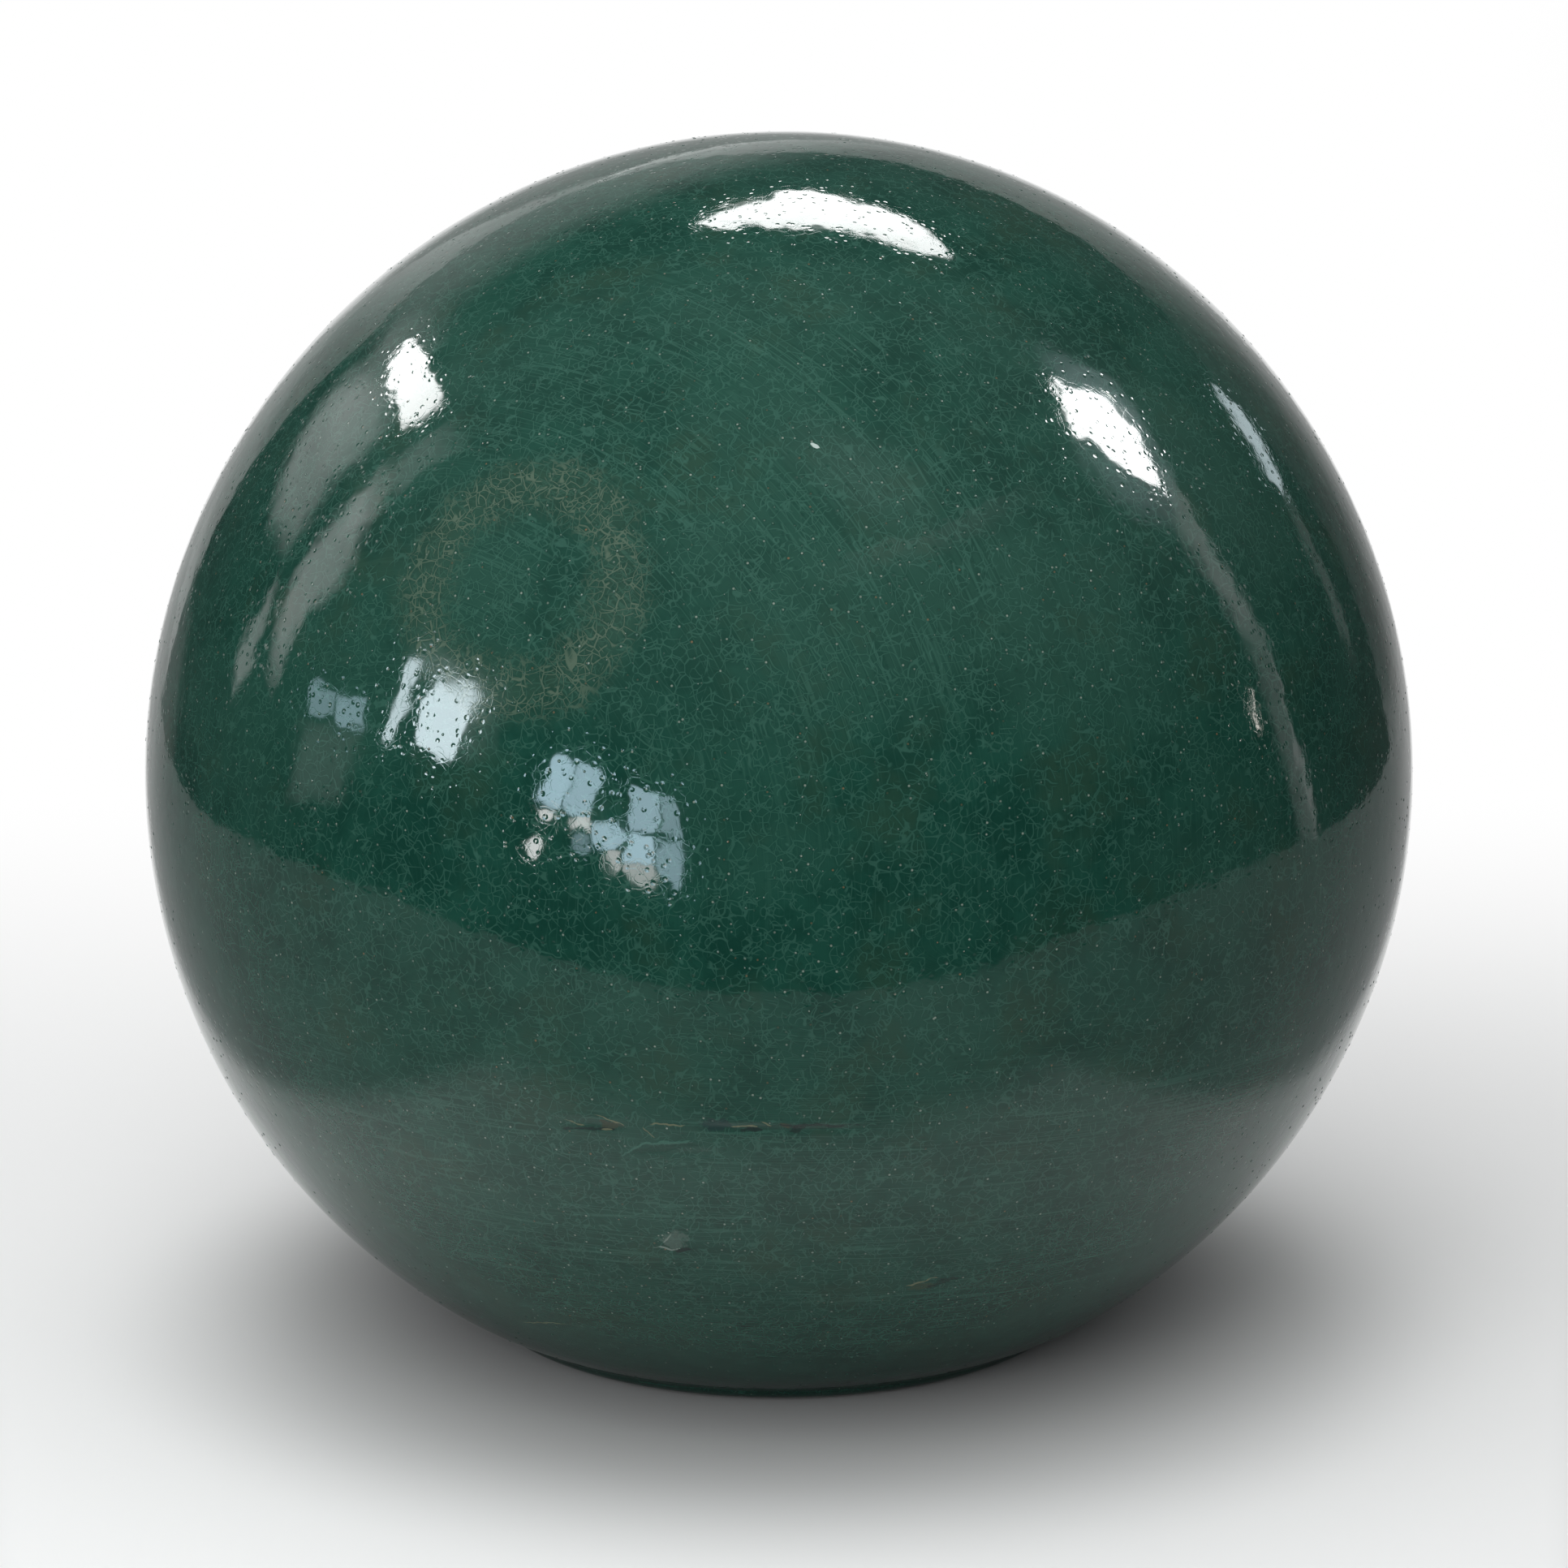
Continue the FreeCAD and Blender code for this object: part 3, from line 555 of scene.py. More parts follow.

# Marks on the front: the torn seam, a crease and a chip under it, a few stains, and two painted glints, with
# painted shade in the sunk slots, as (across, up, slope, half-length, half-width, strength, relief, colour),
# in millimetres on the side that the camera sees.
# The first two colours here are painted shade in the sunk slots and dents along the seam, the chip and the
# stains below.
PAINTED_SLOT_SHADE, RUST, PAINTED_TEAL_SLOT_SHADE = (0.003, 0.014, 0.012, 1), (0.032, 0.038, 0.021, 1), (0.004, 0.022, 0.024, 1)
TAN_EDGE, CHIPPED, PALE_CHIP = (0.150, 0.155, 0.090, 1), (0.090, 0.128, 0.110, 1), (0.20, 0.25, 0.22, 1)
BROWN_STAIN, PAINTED_GLINT_DOT, PAINTED_GLINT_STREAK = (0.030, 0.050, 0.028, 1), (0.46, 0.56, 0.53, 1), (0.46, 0.52, 0.47, 1)
MARKS = (
    (-39.0, -75.4, 0.00, 6.6, 1.20, 0.55, 0.00, DEEP),
    (-35.4, -74.9, -0.10, 2.6, 0.95, 0.75, -0.02, RUST),
    (-39.0, -75.9, 0.00, 6.2, 0.34, 0.80, -0.02, PAINTED_SLOT_SHADE),
    (-35.3, -73.8, -0.38, 3.0, 0.20, 0.75, 0.01, TAN_EDGE),
    (-42.6, -74.9, -0.15, 2.2, 0.20, 0.60, 0.00, TAN_EDGE),
    (-36.2, -76.0, 0.00, 1.2, 0.26, 0.65, 0.00, TAN_EDGE),
    (-23.2, -74.6, -0.06, 3.7, 0.20, 0.70, 0.00, TAN_EDGE),
    (-27.4, -76.4, -1.05, 1.2, 0.24, 0.60, 0.00, TAN_EDGE),
    (-2.0, -74.7, 0.00, 16.5, 1.10, 0.50, 0.00, DEEP),
    (-13.3, -74.5, 0.00, 3.1, 1.50, 0.65, -0.02, PAINTED_TEAL_SLOT_SHADE),
    (-5.6, -75.6, 0.00, 2.6, 0.55, 0.90, -0.02, PAINTED_SLOT_SHADE),
    (-7.2, -74.9, 0.05, 2.4, 0.22, 0.80, 0.00, TAN_EDGE),
    (-2.8, -73.9, -0.40, 1.2, 0.20, 0.70, 0.00, TAN_EDGE),
    (1.2, -74.6, -0.15, 1.2, 0.55, 0.80, 0.00, RUST),
    (3.5, -75.3, 0.15, 1.7, 0.90, 0.80, -0.02, PAINTED_SLOT_SHADE),
    (7.0, -74.5, 0.00, 9.5, 0.28, 0.75, 0.00, PAINTED_SLOT_SHADE),
    (-30.7, -80.4, 0.48, 2.8, 0.34, 0.60, 0.01, CRAZE_AND_GROOVE_HIGHLIGHT),
    (-23.4, -78.9, 0.11, 5.6, 0.36, 0.60, 0.01, CRAZE_AND_GROOVE_HIGHLIGHT),
    (-24.6, -80.0, 0.16, 8.0, 0.55, 0.65, -0.02, DEEP),
    (-19.2, -83.8, 0.08, 6.0, 0.38, 0.55, 0.00, DEEP),
    (-22.4, -100.8, 0.00, 3.0, 2.20, 0.50, 0.02, CHIPPED),
    (-24.4, -102.9, 0.05, 2.5, 0.22, 0.70, 0.01, PALE_CHIP),
    (-24.0, -100.6, 1.40, 1.0, 0.40, 0.55, 0.00, PALE_CHIP),
    (-20.5, -103.2, 0.00, 2.4, 0.40, 0.90, -0.02, PAINTED_SLOT_SHADE),
    (31.2, -112.5, 0.12, 3.3, 0.85, 0.75, -0.02, BROWN_STAIN),
    (30.6, -111.4, 0.24, 3.7, 0.20, 0.75, 0.01, TAN_EDGE),
    (35.2, -112.0, 0.26, 3.2, 0.80, 0.60, -0.02, PAINTED_SLOT_SHADE),
    (-52.7, -124.5, 0.10, 6.0, 0.20, 0.60, 0.00, TAN_EDGE),
    (-8.0, -122.3, 0.00, 1.9, 0.38, 0.75, -0.02, PAINTED_SLOT_SHADE),
    # Two painted glints on small raised blisters: a pale dot and a short pale streak.
    (7.4, 66.4, -0.40, 0.9, 0.38, 0.80, 0.02, PAINTED_GLINT_DOT),
    (70.5, 79.6, -0.70, 1.8, 0.32, 0.70, 0.02, PAINTED_GLINT_STREAK),
)
# How the marks bend, in millimetres, and how their edges fray. A mark runs from its edge to where it is
# whole, and fades out on the far side.
MARKS_BEND, BEND_REACH = (4.5, 2.0, 0.6, 71), 2.4
FRAYS, FRAY_REACH, FRAY_START = (1.3, 1.0, 0.5, 11), 2.2, -0.85
MARK_EDGE, TURNED_AWAY = (1.45, 0.75), (0.05, 0.15)
picture_y = vectors("DOT_PRODUCT", place, picture_up)
bend = maths("SUBTRACT", noise(*MARKS_BEND), 0.5)
picture_y = maths("MULTIPLY_ADD", bend, BEND_REACH, picture_y)
ragged = maths("MULTIPLY_ADD", noise(*FRAYS), FRAY_REACH, FRAY_START)
facing = graded(vectors("DOT_PRODUCT", way, towards_camera), *TURNED_AWAY)
marked, dented = 0.0, 0.0
for across, up, slope, half_length, half_width, strength, depth, colour in MARKS:
    sideways = maths("SUBTRACT", parts["X"], across)
    upward = maths("SUBTRACT", picture_y, maths("MULTIPLY_ADD", sideways, slope, up))
    long_way = maths("DIVIDE", sideways, half_length)
    short_way = maths("DIVIDE", upward, half_width)
    off = maths("MULTIPLY_ADD", short_way, short_way, maths("MULTIPLY", long_way, long_way))
    mark = graded(maths("ADD", off, ragged), *MARK_EDGE)
    mark = maths("MULTIPLY", mark, facing)
    tone = mixed(maths("MULTIPLY", mark, strength), tone, colour)
    marked = maths("MAXIMUM", mark, marked)
    if depth:
        dented = maths("MULTIPLY_ADD", mark, depth, dented)

# Relief, in millimetres: slow ripples, fine orange peel, the sunk lines, the specks and the marks.
RIPPLES, PEEL = (4.2, 0.0, 0.5, 26), (2.0, 0.0, 0.5, 82)
GLOSS, RING_DULLNESS, MARK_DULLNESS = (0.3, 0.7, 0.035, 0.060), 0.06, 0.15
lines = maths("MAXIMUM", hairlines, groove)
relief = dented
for height, pattern in (
    (0.040, noise(*RIPPLES)),
    (0.0070, noise(*PEEL)),
    (-0.0016, lines),
    (-0.0025, dense),
    (-0.022, dimple),
):
    relief = maths("MULTIPLY_ADD", pattern, height, relief)
roughness = graded(mottle, *GLOSS)
roughness = maths("MULTIPLY_ADD", ring, RING_DULLNESS, roughness)
roughness = maths("MULTIPLY_ADD", marked, MARK_DULLNESS, roughness)
finish(Base_Color=tone, Roughness=roughness, Normal=with_relief(relief), IOR=GLAZE_INDEX)

# The tree that gives the fired skin its slow waves and throwing ribs, and its material.
NUMBER, SHAPE, FINISH = "NodeSocketFloat", "NodeSocketGeometry", "NodeSocketMaterial"
WAVE_DETAIL, FIRST_WAVE_SEED, RIB_DRIFT = 1.0, 3.0, 9.0


def new_group(name, **inputs):
    """An empty tree with those named inputs, which have underscores for the spaces in their names."""
    group = bpy.data.node_groups.new(name, "GeometryNodeTree")
    for label, kind in {"Geometry": SHAPE, **inputs, "Finish": FINISH}.items():
        group.interface.new_socket(label.replace("_", " "), in_out="INPUT", socket_type=kind)
    group.interface.new_socket("Geometry", in_out="OUTPUT", socket_type=SHAPE)
    return group


def settle(piece, group, **values):
    """Runs a node tree on the piece with its named inputs, and keeps the plain mesh that comes out."""
    modifier = piece.modifiers.new(group.name, "NODES")
    modifier.node_group = group
    for item in group.interface.items_tree:
        label = item.name.replace(" ", "_")
        if item.in_out == "INPUT" and label in values:
            modifier[item.identifier] = values[label]
    bpy.context.view_layer.update()
    result = piece.evaluated_get(bpy.context.evaluated_depsgraph_get())
    mesh = bpy.data.meshes.new_from_object(result)
    piece.modifiers.clear()
    piece.data = mesh


tree = new_group(
    "fired surface",
    Wave_length=NUMBER,
    Wave_height=NUMBER,
    Ripple_length=NUMBER,
    Ripple_height=NUMBER,
    Rib_spacing=NUMBER,
    Rib_height=NUMBER,
)
given = node("NodeGroupInput").node.outputs
position = node("GeometryNodeInputPosition")
outward = node("GeometryNodeInputNormal")
shares = node("GeometryNodeInputNamedAttribute", {"Name": "open_skin"}, data_type="FLOAT")
lift = 0.0
for seed, kind in enumerate(("Wave", "Ripple")):
    inputs = {"Vector": position, "W": FIRST_WAVE_SEED + seed, "Detail": WAVE_DETAIL}
    inputs["Scale"] = maths("DIVIDE", 1.0, given[kind + " length"])
    lump = node("ShaderNodeTexNoise", inputs, noise_dimensions="4D")
    lump = maths("MULTIPLY", maths("SUBTRACT", lump, 0.5), given[kind + " height"])
    lift = maths("ADD", lump, lift)
from_ball = vectors("NORMALIZE", vectors("SUBTRACT", position, BALL_MIDDLE))
toward = vectors("DOT_PRODUCT", from_ball, ARCS_ROUND)
round_arc = maths("MULTIPLY", maths("ARCCOSINE", toward), BALL_RADIUS)
inputs = {"Vector": vectors("SCALE", position, RIB_DRIFT), "Scale": 1.0, "Detail": 0.0}
inputs["W"] = maths("DIVIDE", round_arc, given["Rib spacing"])
rib = node("ShaderNodeTexNoise", inputs, noise_dimensions="4D")
rib = maths("MULTIPLY", maths("SUBTRACT", rib, 0.5), given["Rib height"])
lift = maths("MULTIPLY", maths("ADD", lift, rib), shares)
offset = vectors("SCALE", outward, lift)
moved = node("GeometryNodeSetPosition", {"Geometry": given["Geometry"], "Offset": offset})
moved = node("GeometryNodeRealizeInstances", {0: moved})
moved = node("GeometryNodeSetMaterial", {"Geometry": moved, "Material": given["Finish"]})
node("NodeGroupOutput", {"Geometry": moved})
settle(
    glaze_skin,
    tree,
    Wave_length=0.060,
    Wave_height=0.00014,
    Ripple_length=0.018,
    Ripple_height=0.00004,
    Rib_spacing=0.011,
    Rib_height=0.00003,
    Finish=glaze,
)
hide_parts("glaze_coat")
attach(glaze_skin, "root")


# Pinholes
# Gas that left the glaze in the kiln burst at its surface and left thousands of tiny craters, each a low rim
# round a pit. They are made of the glaze itself, and a few are stained rusty.
CRATER_GREEN, DULL_PIT = (0.0080, 0.045, 0.033, 1), (0.09, 0.17, 0.13, 1)
PALE_PIT, RUSTY_PIT, PIT_ROUGHNESS = (0.33, 0.40, 0.34, 1), (0.21, 0.15, 0.09, 1), 0.09
# Where in a random number from 0 to 1 the pits turn pale, and where rusty.
PALE_FROM, RUSTY_PIT_FROM = (0.25, 1.05), (0.92, 0.95)
# How the pits gather: lumps to a metre, and (from, to, fewest, most) in them.
PIT_LUMPS, GATHERED = 26.0, (0.35, 0.65, 0.55, 1.5)
# A crater is a coarse ball made over: its flank, its pit's floor, what lies in the pit and how the crater
# narrows, each by the height on that ball.
FLANK, PIT_FLOOR = (-0.5, 0.5, -0.25, 1.0), (0.5, 1.0, 0.0, -0.85)
IN_PIT, NARROWING = (0.5, 0.95), (-0.5, 0.5, 1.15, 0.85)
CRATER_SIDES, CRATER_RINGS, SIZE_SEED, RUST_SEED = 6, 3, 5, 9

pit_glaze, tree = new_material("pinhole glaze")
in_pit = node("ShaderNodeAttribute", attribute_name="pit").node.outputs["Fac"]
rusty = node("ShaderNodeAttribute", attribute_name="rust").node.outputs["Fac"]
heart = mixed(graded(rusty, *PALE_FROM), DULL_PIT, PALE_PIT)
heart = mixed(graded(rusty, *RUSTY_PIT_FROM), heart, RUSTY_PIT)
finish(Base_Color=mixed(in_pit, CRATER_GREEN, heart), Roughness=PIT_ROUGHNESS, IOR=GLAZE_INDEX)

tree = new_group(
    "fired pinholes",
    Pits_to_a_square_metre=NUMBER,
    Smallest_radius=NUMBER,
    Largest_radius=NUMBER,
    Height_to_radius=NUMBER,
    Seed="NodeSocketInt",
)
given = node("NodeGroupInput").node.outputs
position = node("GeometryNodeInputPosition")
shares = node("GeometryNodeInputNamedAttribute", {"Name": "open_skin"}, data_type="FLOAT")
gathering = node("ShaderNodeTexNoise", {"Vector": position, "Scale": PIT_LUMPS, "Detail": 1.0})
density = maths("MULTIPLY", graded(gathering, *GATHERED), shares)
density = maths("MULTIPLY", density, given["Pits to a square metre"])
inputs = {"Mesh": given["Geometry"], "Density": density, "Seed": given["Seed"]}
scattered = node("GeometryNodeDistributePointsOnFaces", inputs, distribute_method="RANDOM").node.outputs
ball = node("GeometryNodeMeshUVSphere", {"Segments": CRATER_SIDES, "Rings": CRATER_RINGS, "Radius": 1.0})
corner = node("ShaderNodeSeparateXYZ", {0: position}).node.outputs
flank = maths("ADD", graded(corner["Z"], *FLANK), graded(corner["Z"], *PIT_FLOOR))
flank = maths("MULTIPLY", flank, given["Height to radius"])
waist = graded(corner["Z"], *NARROWING)
across, along = (maths("MULTIPLY", corner[axis], waist) for axis in "XY")
crater_point = node("ShaderNodeCombineXYZ", {0: across, 1: along, 2: flank})
inputs = {"Geometry": ball, "Name": "pit", "Value": graded(corner["Z"], *IN_PIT)}
crater = node("GeometryNodeStoreNamedAttribute", inputs)
crater = node("GeometryNodeSetPosition", {"Geometry": crater, "Position": crater_point})
inputs = {"Min": given["Smallest radius"], "Max": given["Largest radius"], "Seed": SIZE_SEED}
sizes = node("FunctionNodeRandomValue", inputs, data_type="FLOAT")
inputs = {name: scattered[name] for name in ("Points", "Rotation")} | {"Instance": crater, "Scale": sizes}
placed = node("GeometryNodeInstanceOnPoints", inputs)
lot = node("FunctionNodeRandomValue", {"Seed": RUST_SEED}, data_type="FLOAT")
inputs = {"Geometry": placed, "Name": "rust", "Value": lot}
placed = node("GeometryNodeStoreNamedAttribute", inputs, domain="INSTANCE")
placed = node("GeometryNodeRealizeInstances", {0: placed})
placed = node("GeometryNodeSetShadeSmooth", {0: placed})
placed = node("GeometryNodeSetMaterial", {"Geometry": placed, "Material": given["Finish"]})
node("NodeGroupOutput", {"Geometry": placed})

glaze_pinholes = bpy.data.objects.new("glaze_pinholes", glaze_skin.data.copy())
bpy.context.scene.collection.objects.link(glaze_pinholes)
settle(
    glaze_pinholes,
    tree,
    Pits_to_a_square_metre=16000.0,
    Smallest_radius=0.00018,
    Largest_radius=0.00044,
    Height_to_radius=0.16,
    Seed=11,
    Finish=pit_glaze,
)
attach(glaze_pinholes, "root")


# Windows and soft boxes
# The lights that the glaze mirrors: soft boxes above and to the sides, and two tall windows in panes on the
# left. Each is an outline on a wide ball round this one, set where the skin mirrors it at its place in the
# picture.
LAMP_REACH = 1.6
CLEAR, SKY, BLUE, WARM = (1, 1, 1, 1), (0.80, 0.93, 1, 1), (0.62, 0.85, 1, 1), (1, 0.93, 0.86, 1)
# The fine relief spreads some of each lamp's light, so the lamps are that much brighter.
SPREAD_AWAY = 1.1
# The photograph's width and where the ball's middle lies in it, in pixels.
PHOTO_WIDTH, BALL_SEEN_AT = 1932, np.array((960.4, 945.3))
# How squarely the skin has to be seen at a corner, and what each pull inwards leaves of its distance.
LEAST_SQUARENESS, PULL = 0.12, 0.998
# Each light as (name, brightness in the glaze, tint, softness of its edge, size against its outline and the
# outline), with the outline in pixels of the photograph, across and down.
MIRRORED_LIGHTS = (
    ("top_box", 0.95, CLEAR, 0.06, 1.03, (
        (861, 278), (878, 267), (904, 255), (942, 247), (972, 238), (997, 236), (1023, 241), (1052, 250),
        (1086, 258), (1116, 271), (1142, 288), (1165, 315), (1137, 313), (1103, 303), (1078, 292),
        (1052, 288), (1027, 282), (1001, 278), (980, 283), (950, 279), (925, 277), (899, 281),
    )),
    ("left_high_box", 1, CLEAR, 0.08, 1.05, (
        (504, 423), (518, 429), (524, 448), (535, 467), (544, 481), (542, 500), (518, 517), (495, 526),
        (493, 514), (491, 497), (480, 475), (480, 456), (488, 437),
    )),
    ("right_box", 1.15, CLEAR, 0.1, 1.04, (
        (1294, 467), (1308, 477), (1337, 481), (1363, 491), (1380, 511), (1396, 527), (1402, 550),
        (1415, 566), (1432, 605), (1420, 597), (1393, 581), (1370, 563), (1347, 545), (1328, 538),
        (1315, 517), (1310, 491), (1302, 480),
    )),
    ("right_box_rim", 0.075, SKY, 0.7, 0.85, (
        (1280, 438), (1300, 436), (1330, 448), (1362, 466), (1385, 488), (1405, 516), (1420, 550),
        (1434, 580), (1444, 615), (1425, 606), (1400, 560), (1380, 520), (1350, 492), (1310, 486),
        (1290, 467),
    )),
    ("right_box_haze", 0.045, SKY, 0.8, 0.9, (
        (1318, 530), (1350, 548), (1395, 585), (1440, 612), (1435, 650), (1400, 638), (1365, 610),
        (1335, 575),
    )),
    ("right_thin_box", 0.34, SKY, 0.15, 1, (
        (1491, 472), (1510, 487), (1536, 513), (1558, 550), (1571, 575), (1584, 613), (1565, 592),
        (1547, 558), (1524, 524), (1502, 491),
    )),
    ("right_glint", 0.45, WARM, 0.2, 0.95, (
        (1536, 843), (1540, 847), (1545, 878), (1554, 900), (1551, 905), (1542, 880),
    )),
    ("right_thin_line", 0.026, CLEAR, 0.5, 1, (
        (1588, 618), (1600, 640), (1625, 690), (1648, 748), (1662, 800), (1655, 800), (1640, 752),
        (1616, 694), (1592, 646), (1583, 624),
    )),
    ("middle_haze", 0.012, CLEAR, 0.9, 1, (
        (1003, 530), (1060, 545), (1120, 590), (1125, 640), (1060, 635), (1010, 600), (980, 560),
    )),
    ("middle_band", 0.011, CLEAR, 0.8, 1, (
        (1050, 692), (1120, 676), (1190, 640), (1235, 615), (1245, 630), (1200, 665), (1130, 695),
        (1055, 706),
    )),
    ("left_bar", 0.5, SKY, 0.08, 0.98, (
        (505, 814), (522, 815), (513, 839), (502, 869), (490, 896), (481, 917), (470, 915), (480, 884),
        (490, 851),
    )),
    ("left_block", 0.6, SKY, 0.08, 0.98, (
        (540, 830), (555, 839), (588, 846), (590, 859), (578, 884), (570, 917), (557, 940), (534, 931),
        (507, 920), (510, 911), (519, 881), (523, 860), (532, 842),
    )),
    ("left_block_haze", 0.035, CLEAR, 0.8, 0.85, (
        (520, 800), (560, 808), (600, 832), (618, 870), (605, 912), (580, 940), (565, 925), (580, 870),
        (560, 842), (530, 830),
    )),
    ("window_pane_1", 0.376, BLUE, 0.03, 1, (
        (698, 930), (705, 937), (705, 951), (699, 970), (692, 993), (662, 990), (670, 970), (677, 948),
        (686, 936),
    )),
    ("window_pane_2", 0.319, BLUE, 0.03, 1, (
        (712, 934), (730, 943), (741, 948), (739, 973), (733, 989), (731, 1003), (707, 1003), (697, 993),
        (704, 973), (707, 951),
    )),
    ("window_pane_3", 0.479, CLEAR, 0.03, 1, (
        (659, 993), (682, 996), (682, 1008), (674, 1015), (663, 1008),
    )),
    ("window_pane_4", 0.41, CLEAR, 0.03, 1, (
        (712, 1003), (729, 1007), (731, 1019), (730, 1030), (714, 1020), (701, 1024), (697, 1020),
        (705, 1008),
    )),
    ("window_pane_5", 0.502, CLEAR, 0.03, 1, (
        (660, 1026), (670, 1036), (667, 1049), (656, 1061), (648, 1049), (648, 1037),
    )),
    ("window_pane_6", 0.137, BLUE, 0.3, 0.9, (
        (705, 1028), (730, 1033), (733, 1044), (719, 1060), (705, 1049),
    )),
    ("window_pane_7", 0.342, BLUE, 0.03, 1, (
        (737, 1016), (752, 1015), (768, 1022), (768, 1038), (760, 1044), (742, 1044), (735, 1033),
    )),
    ("window_pane_8", 0.308, CLEAR, 0.03, 1, (
        (745, 1046), (767, 1046), (764, 1071), (759, 1082), (752, 1076), (749, 1060),
    )),
    ("window_pane_9", 0.285, BLUE, 0.03, 1, (
        (776, 963), (784, 967), (804, 974), (813, 975), (813, 994), (808, 1008), (806, 1024), (774, 1022),
        (776, 1008), (779, 989), (774, 975),
    )),
    ("window_pane_10", 0.376, BLUE, 0.03, 1, (
        (774, 1026), (806, 1030), (809, 1044), (808, 1062), (792, 1064), (774, 1061), (775, 1044),
    )),
    ("window_pane_13", 0.262, CLEAR, 0.05, 1, (
        (774, 1062), (792, 1065), (808, 1063), (810, 1080), (809, 1090), (801, 1094), (782, 1085),
        (771, 1076),
    )),
    ("window_pane_11", 0.182, BLUE, 0.03, 1, (
        (817, 979), (831, 984), (838, 1000), (835, 1016), (838, 1032), (813, 1028), (812, 1011), (817, 997),
    )),
    ("window_pane_12", 0.205, BLUE, 0.03, 1, (
        (814, 1034), (839, 1038), (840, 1071), (842, 1096), (828, 1102), (825, 1087), (814, 1079),
        (813, 1054),
    )),
    ("far_pane_1", 0.14, BLUE, 0.12, 1, (
        (387, 840), (418, 851), (411, 882), (380, 878),
    )),
    ("far_pane_2", 0.18, BLUE, 0.12, 1, (
        (421, 858), (452, 864), (446, 895), (415, 892),
    )),
    ("far_sill", 0.024, CLEAR, 0.5, 1, (
        (376, 895), (449, 902), (421, 989), (363, 985),
    )),
    ("upper_haze", 0.095, CLEAR, 0.6, 0.92, (
        (500, 372), (560, 322), (620, 285), (700, 250), (800, 220), (880, 207), (960, 202), (1050, 206),
        (1130, 216), (1050, 219), (960, 224), (880, 240), (800, 266), (720, 300), (660, 336), (610, 376),
        (560, 418), (520, 450), (505, 425),
    )),
    ("left_rim_haze", 0.048, CLEAR, 0.6, 1, (
        (268, 590), (284, 590), (258, 680), (240, 770), (230, 850), (224, 930), (224, 985), (210, 960),
        (208, 900), (212, 830), (224, 760), (244, 670),
    )),
    ("left_curtain_top", 0.05, CLEAR, 0.6, 0.85, (
        (500, 392), (540, 385), (560, 400), (550, 430), (530, 440), (500, 470), (490, 520), (460, 560),
        (420, 590), (390, 600), (400, 530), (430, 480), (460, 437), (485, 405),
    )),
    ("left_curtain", 0.115, CLEAR, 0.5, 0.95, (
        (440, 460), (480, 480), (480, 530), (445, 571), (414, 592), (387, 640), (361, 675), (339, 640),
        (352, 585), (380, 530), (412, 486),
    )),
    ("left_low_curtain_top", 0.045, CLEAR, 0.6, 1, (
        (552, 528), (560, 560), (525, 580), (483, 613), (455, 650), (425, 665), (440, 620), (470, 585),
        (511, 556),
    )),
    ("left_low_curtain", 0.115, CLEAR, 0.5, 0.95, (
        (470, 590), (465, 630), (449, 660), (435, 700), (414, 730), (380, 758), (359, 806), (345, 844),
        (338, 813), (340, 778), (352, 744), (366, 709), (394, 668), (435, 620),
    )),
    ("left_far_curtain", 0.1, CLEAR, 0.4, 1, (
        (342, 712), (338, 745), (322, 785), (308, 826), (290, 858), (292, 813), (306, 778), (325, 744),
    )),
    ("right_curtain_top", 0.06, CLEAR, 0.75, 1, (
        (1434, 600), (1444, 604), (1470, 650), (1505, 706), (1533, 766), (1518, 776), (1492, 726),
        (1458, 672), (1438, 632),
    )),
    ("right_curtain", 0.036, CLEAR, 0.65, 1, (
        (1524, 752), (1536, 770), (1558, 822), (1576, 883), (1590, 943), (1601, 1010), (1605, 1050),
        (1591, 1052), (1586, 1000), (1571, 930), (1553, 870), (1528, 800), (1516, 775),
    )),
)

skin = glaze_skin.data
places = [corner.co for corner in skin.vertices]
skin_tree = BVHTree.FromPolygons(places, [face.vertices[:] for face in skin.polygons])


def mirrored(across, down):
    """The point that the skin mirrors at that pixel, and how squarely the skin is seen there."""
    half = PHOTO_WIDTH / 2
    pixel = camera_data.sensor_width / PHOTO_WIDTH
    sight = camera.rotation_quaternion @ Vector(((across - half) * pixel, (half - down) * pixel, -LENS))
    sight.normalize()
    place, _, face, _ = skin_tree.ray_cast(camera.location, sight)
    if place is None:
        return None, 0.0
    outward = Vector()
    for corner in skin.polygons[face].vertices:
        corner = skin.vertices[corner]
        outward += corner.normal / max((corner.co - place).length, sys.float_info.epsilon)
    outward.normalize()
    squareness = -sight.dot(outward)
    leaving = sight + 2 * squareness * outward
    start = place - BALL_MIDDLE
    along = start.dot(leaving)
    reach = math.sqrt(along**2 - start.length_squared + LAMP_REACH**2) - along
    return place + reach * leaving, squareness


def mirror_share(squareness):
    """The share of the light that clear glass mirrors when it is seen so squarely."""
    inside = math.sqrt(1 - (1 - squareness**2) / GLAZE_INDEX**2)
    level = (squareness - GLAZE_INDEX * inside) / (squareness + GLAZE_INDEX * inside)
    upright = (inside - GLAZE_INDEX * squareness) / (inside + GLAZE_INDEX * squareness)
    return (level**2 + upright**2) / 2


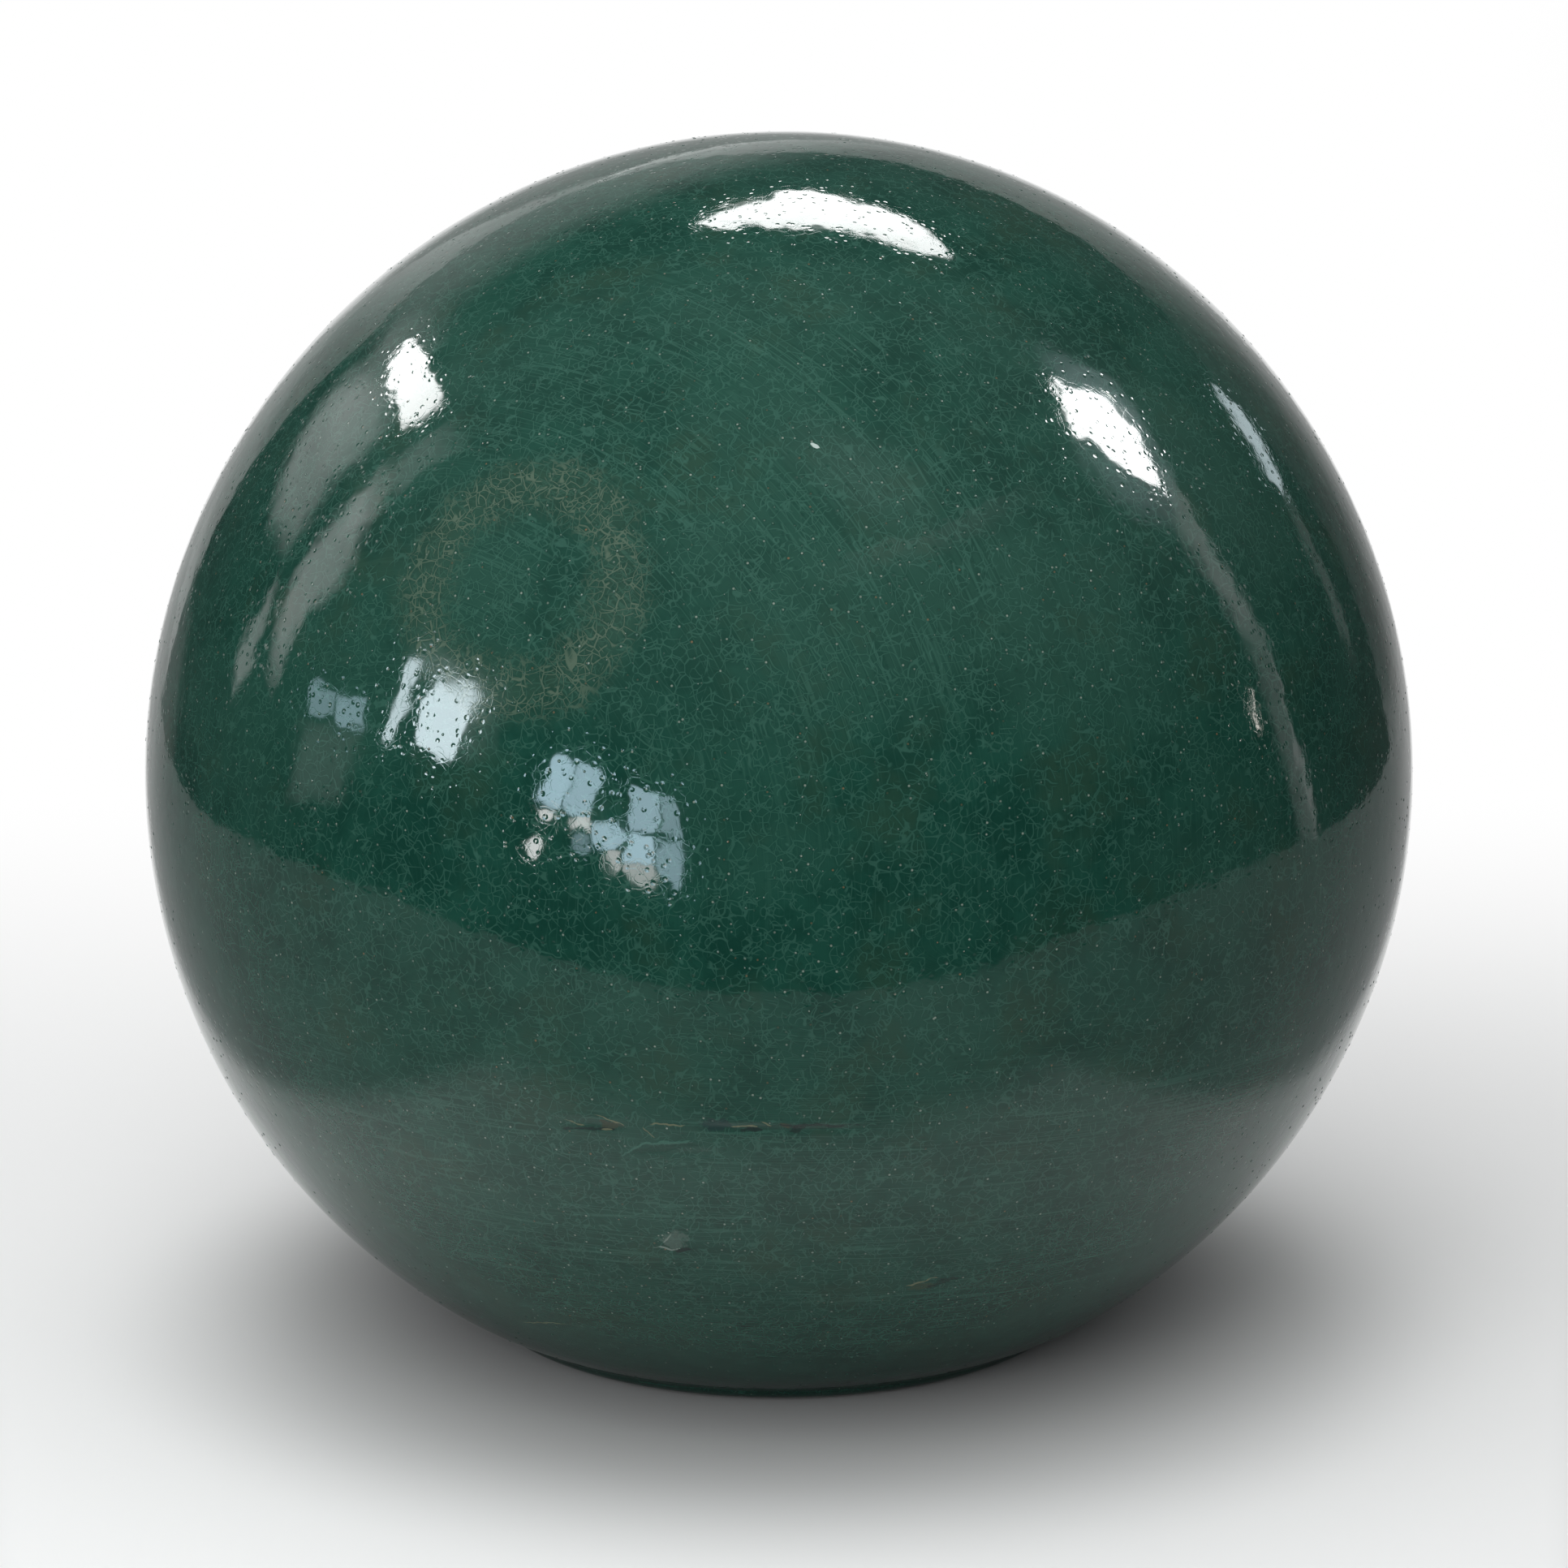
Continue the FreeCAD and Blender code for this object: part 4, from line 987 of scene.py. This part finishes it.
for name, brightness, tint, softness, size, outline in MIRRORED_LIGHTS:
    count = len(outline)
    heart = np.mean(outline, axis=0)
    rim, share = [], 0.0
    for pixel in heart + (np.array(outline) - heart) * size / (1 - softness / 2):
        point, squareness = mirrored(*pixel)
        while squareness < LEAST_SQUARENESS:
            pixel = BALL_SEEN_AT + (pixel - BALL_SEEN_AT) * PULL
            point, squareness = mirrored(*pixel)
        rim.append(point)
        share += mirror_share(squareness) / count
    middle = sum(rim, Vector()) / count
    inner = [middle + (point - middle) * (1 - softness) for point in rim]
    following = [(i + 1) % count for i in range(count)]
    edge = [(i, following[i], count + following[i], count + i) for i in range(count)]
    fan = [(count + i, count + following[i], 2 * count) for i in range(count)]
    lamp = new_piece(name, rim + inner + [middle], edge + fan)
    glow = lamp.data.attributes.new("glow", "FLOAT", "POINT")
    glow.data.foreach_set("value", [0.0] * count + [1.0] * (count + 1))
    lamp_material, tree = new_material(name)
    falloff = node("ShaderNodeAttribute", attribute_name="glow").node.outputs["Fac"]
    strength = SPREAD_AWAY * brightness / share / tint[1]
    power = maths("MULTIPLY", graded(falloff, 0, 1), strength)
    shine = node("ShaderNodeEmission", {"Color": tint, "Strength": power})
    shine = node("ShaderNodeAddShader", {0: shine, 1: node("ShaderNodeBsdfTransparent")})
    node("ShaderNodeOutputMaterial", {"Surface": shine})
    lamp.data.materials.append(lamp_material)
    lamp.visible_camera = False
    lamp.visible_diffuse = lamp.visible_shadow = False

# Two wide lit cloths, one overhead and one in front, even out the light. The glaze doesn't mirror them.
CLOTH_SIZE = 1.3
CLOTHS = (("overhead_cloth", 14.0, (-0.15, 0, 2.1)), ("front_cloth", 25.0, (-0.35, -1.3, 1.0)))
for name, energy, spot in CLOTHS:
    cloth_light = bpy.data.lights.new(name, "AREA")
    cloth_light.size, cloth_light.energy = CLOTH_SIZE, energy
    cloth = bpy.data.objects.new(name, cloth_light)
    cloth.location = spot
    cloth.rotation_mode = "QUATERNION"
    cloth.rotation_quaternion = (BALL_MIDDLE - cloth.location).to_track_quat("-Z", "Y")
    cloth.visible_camera = cloth.visible_glossy = False
    bpy.context.scene.collection.objects.link(cloth)
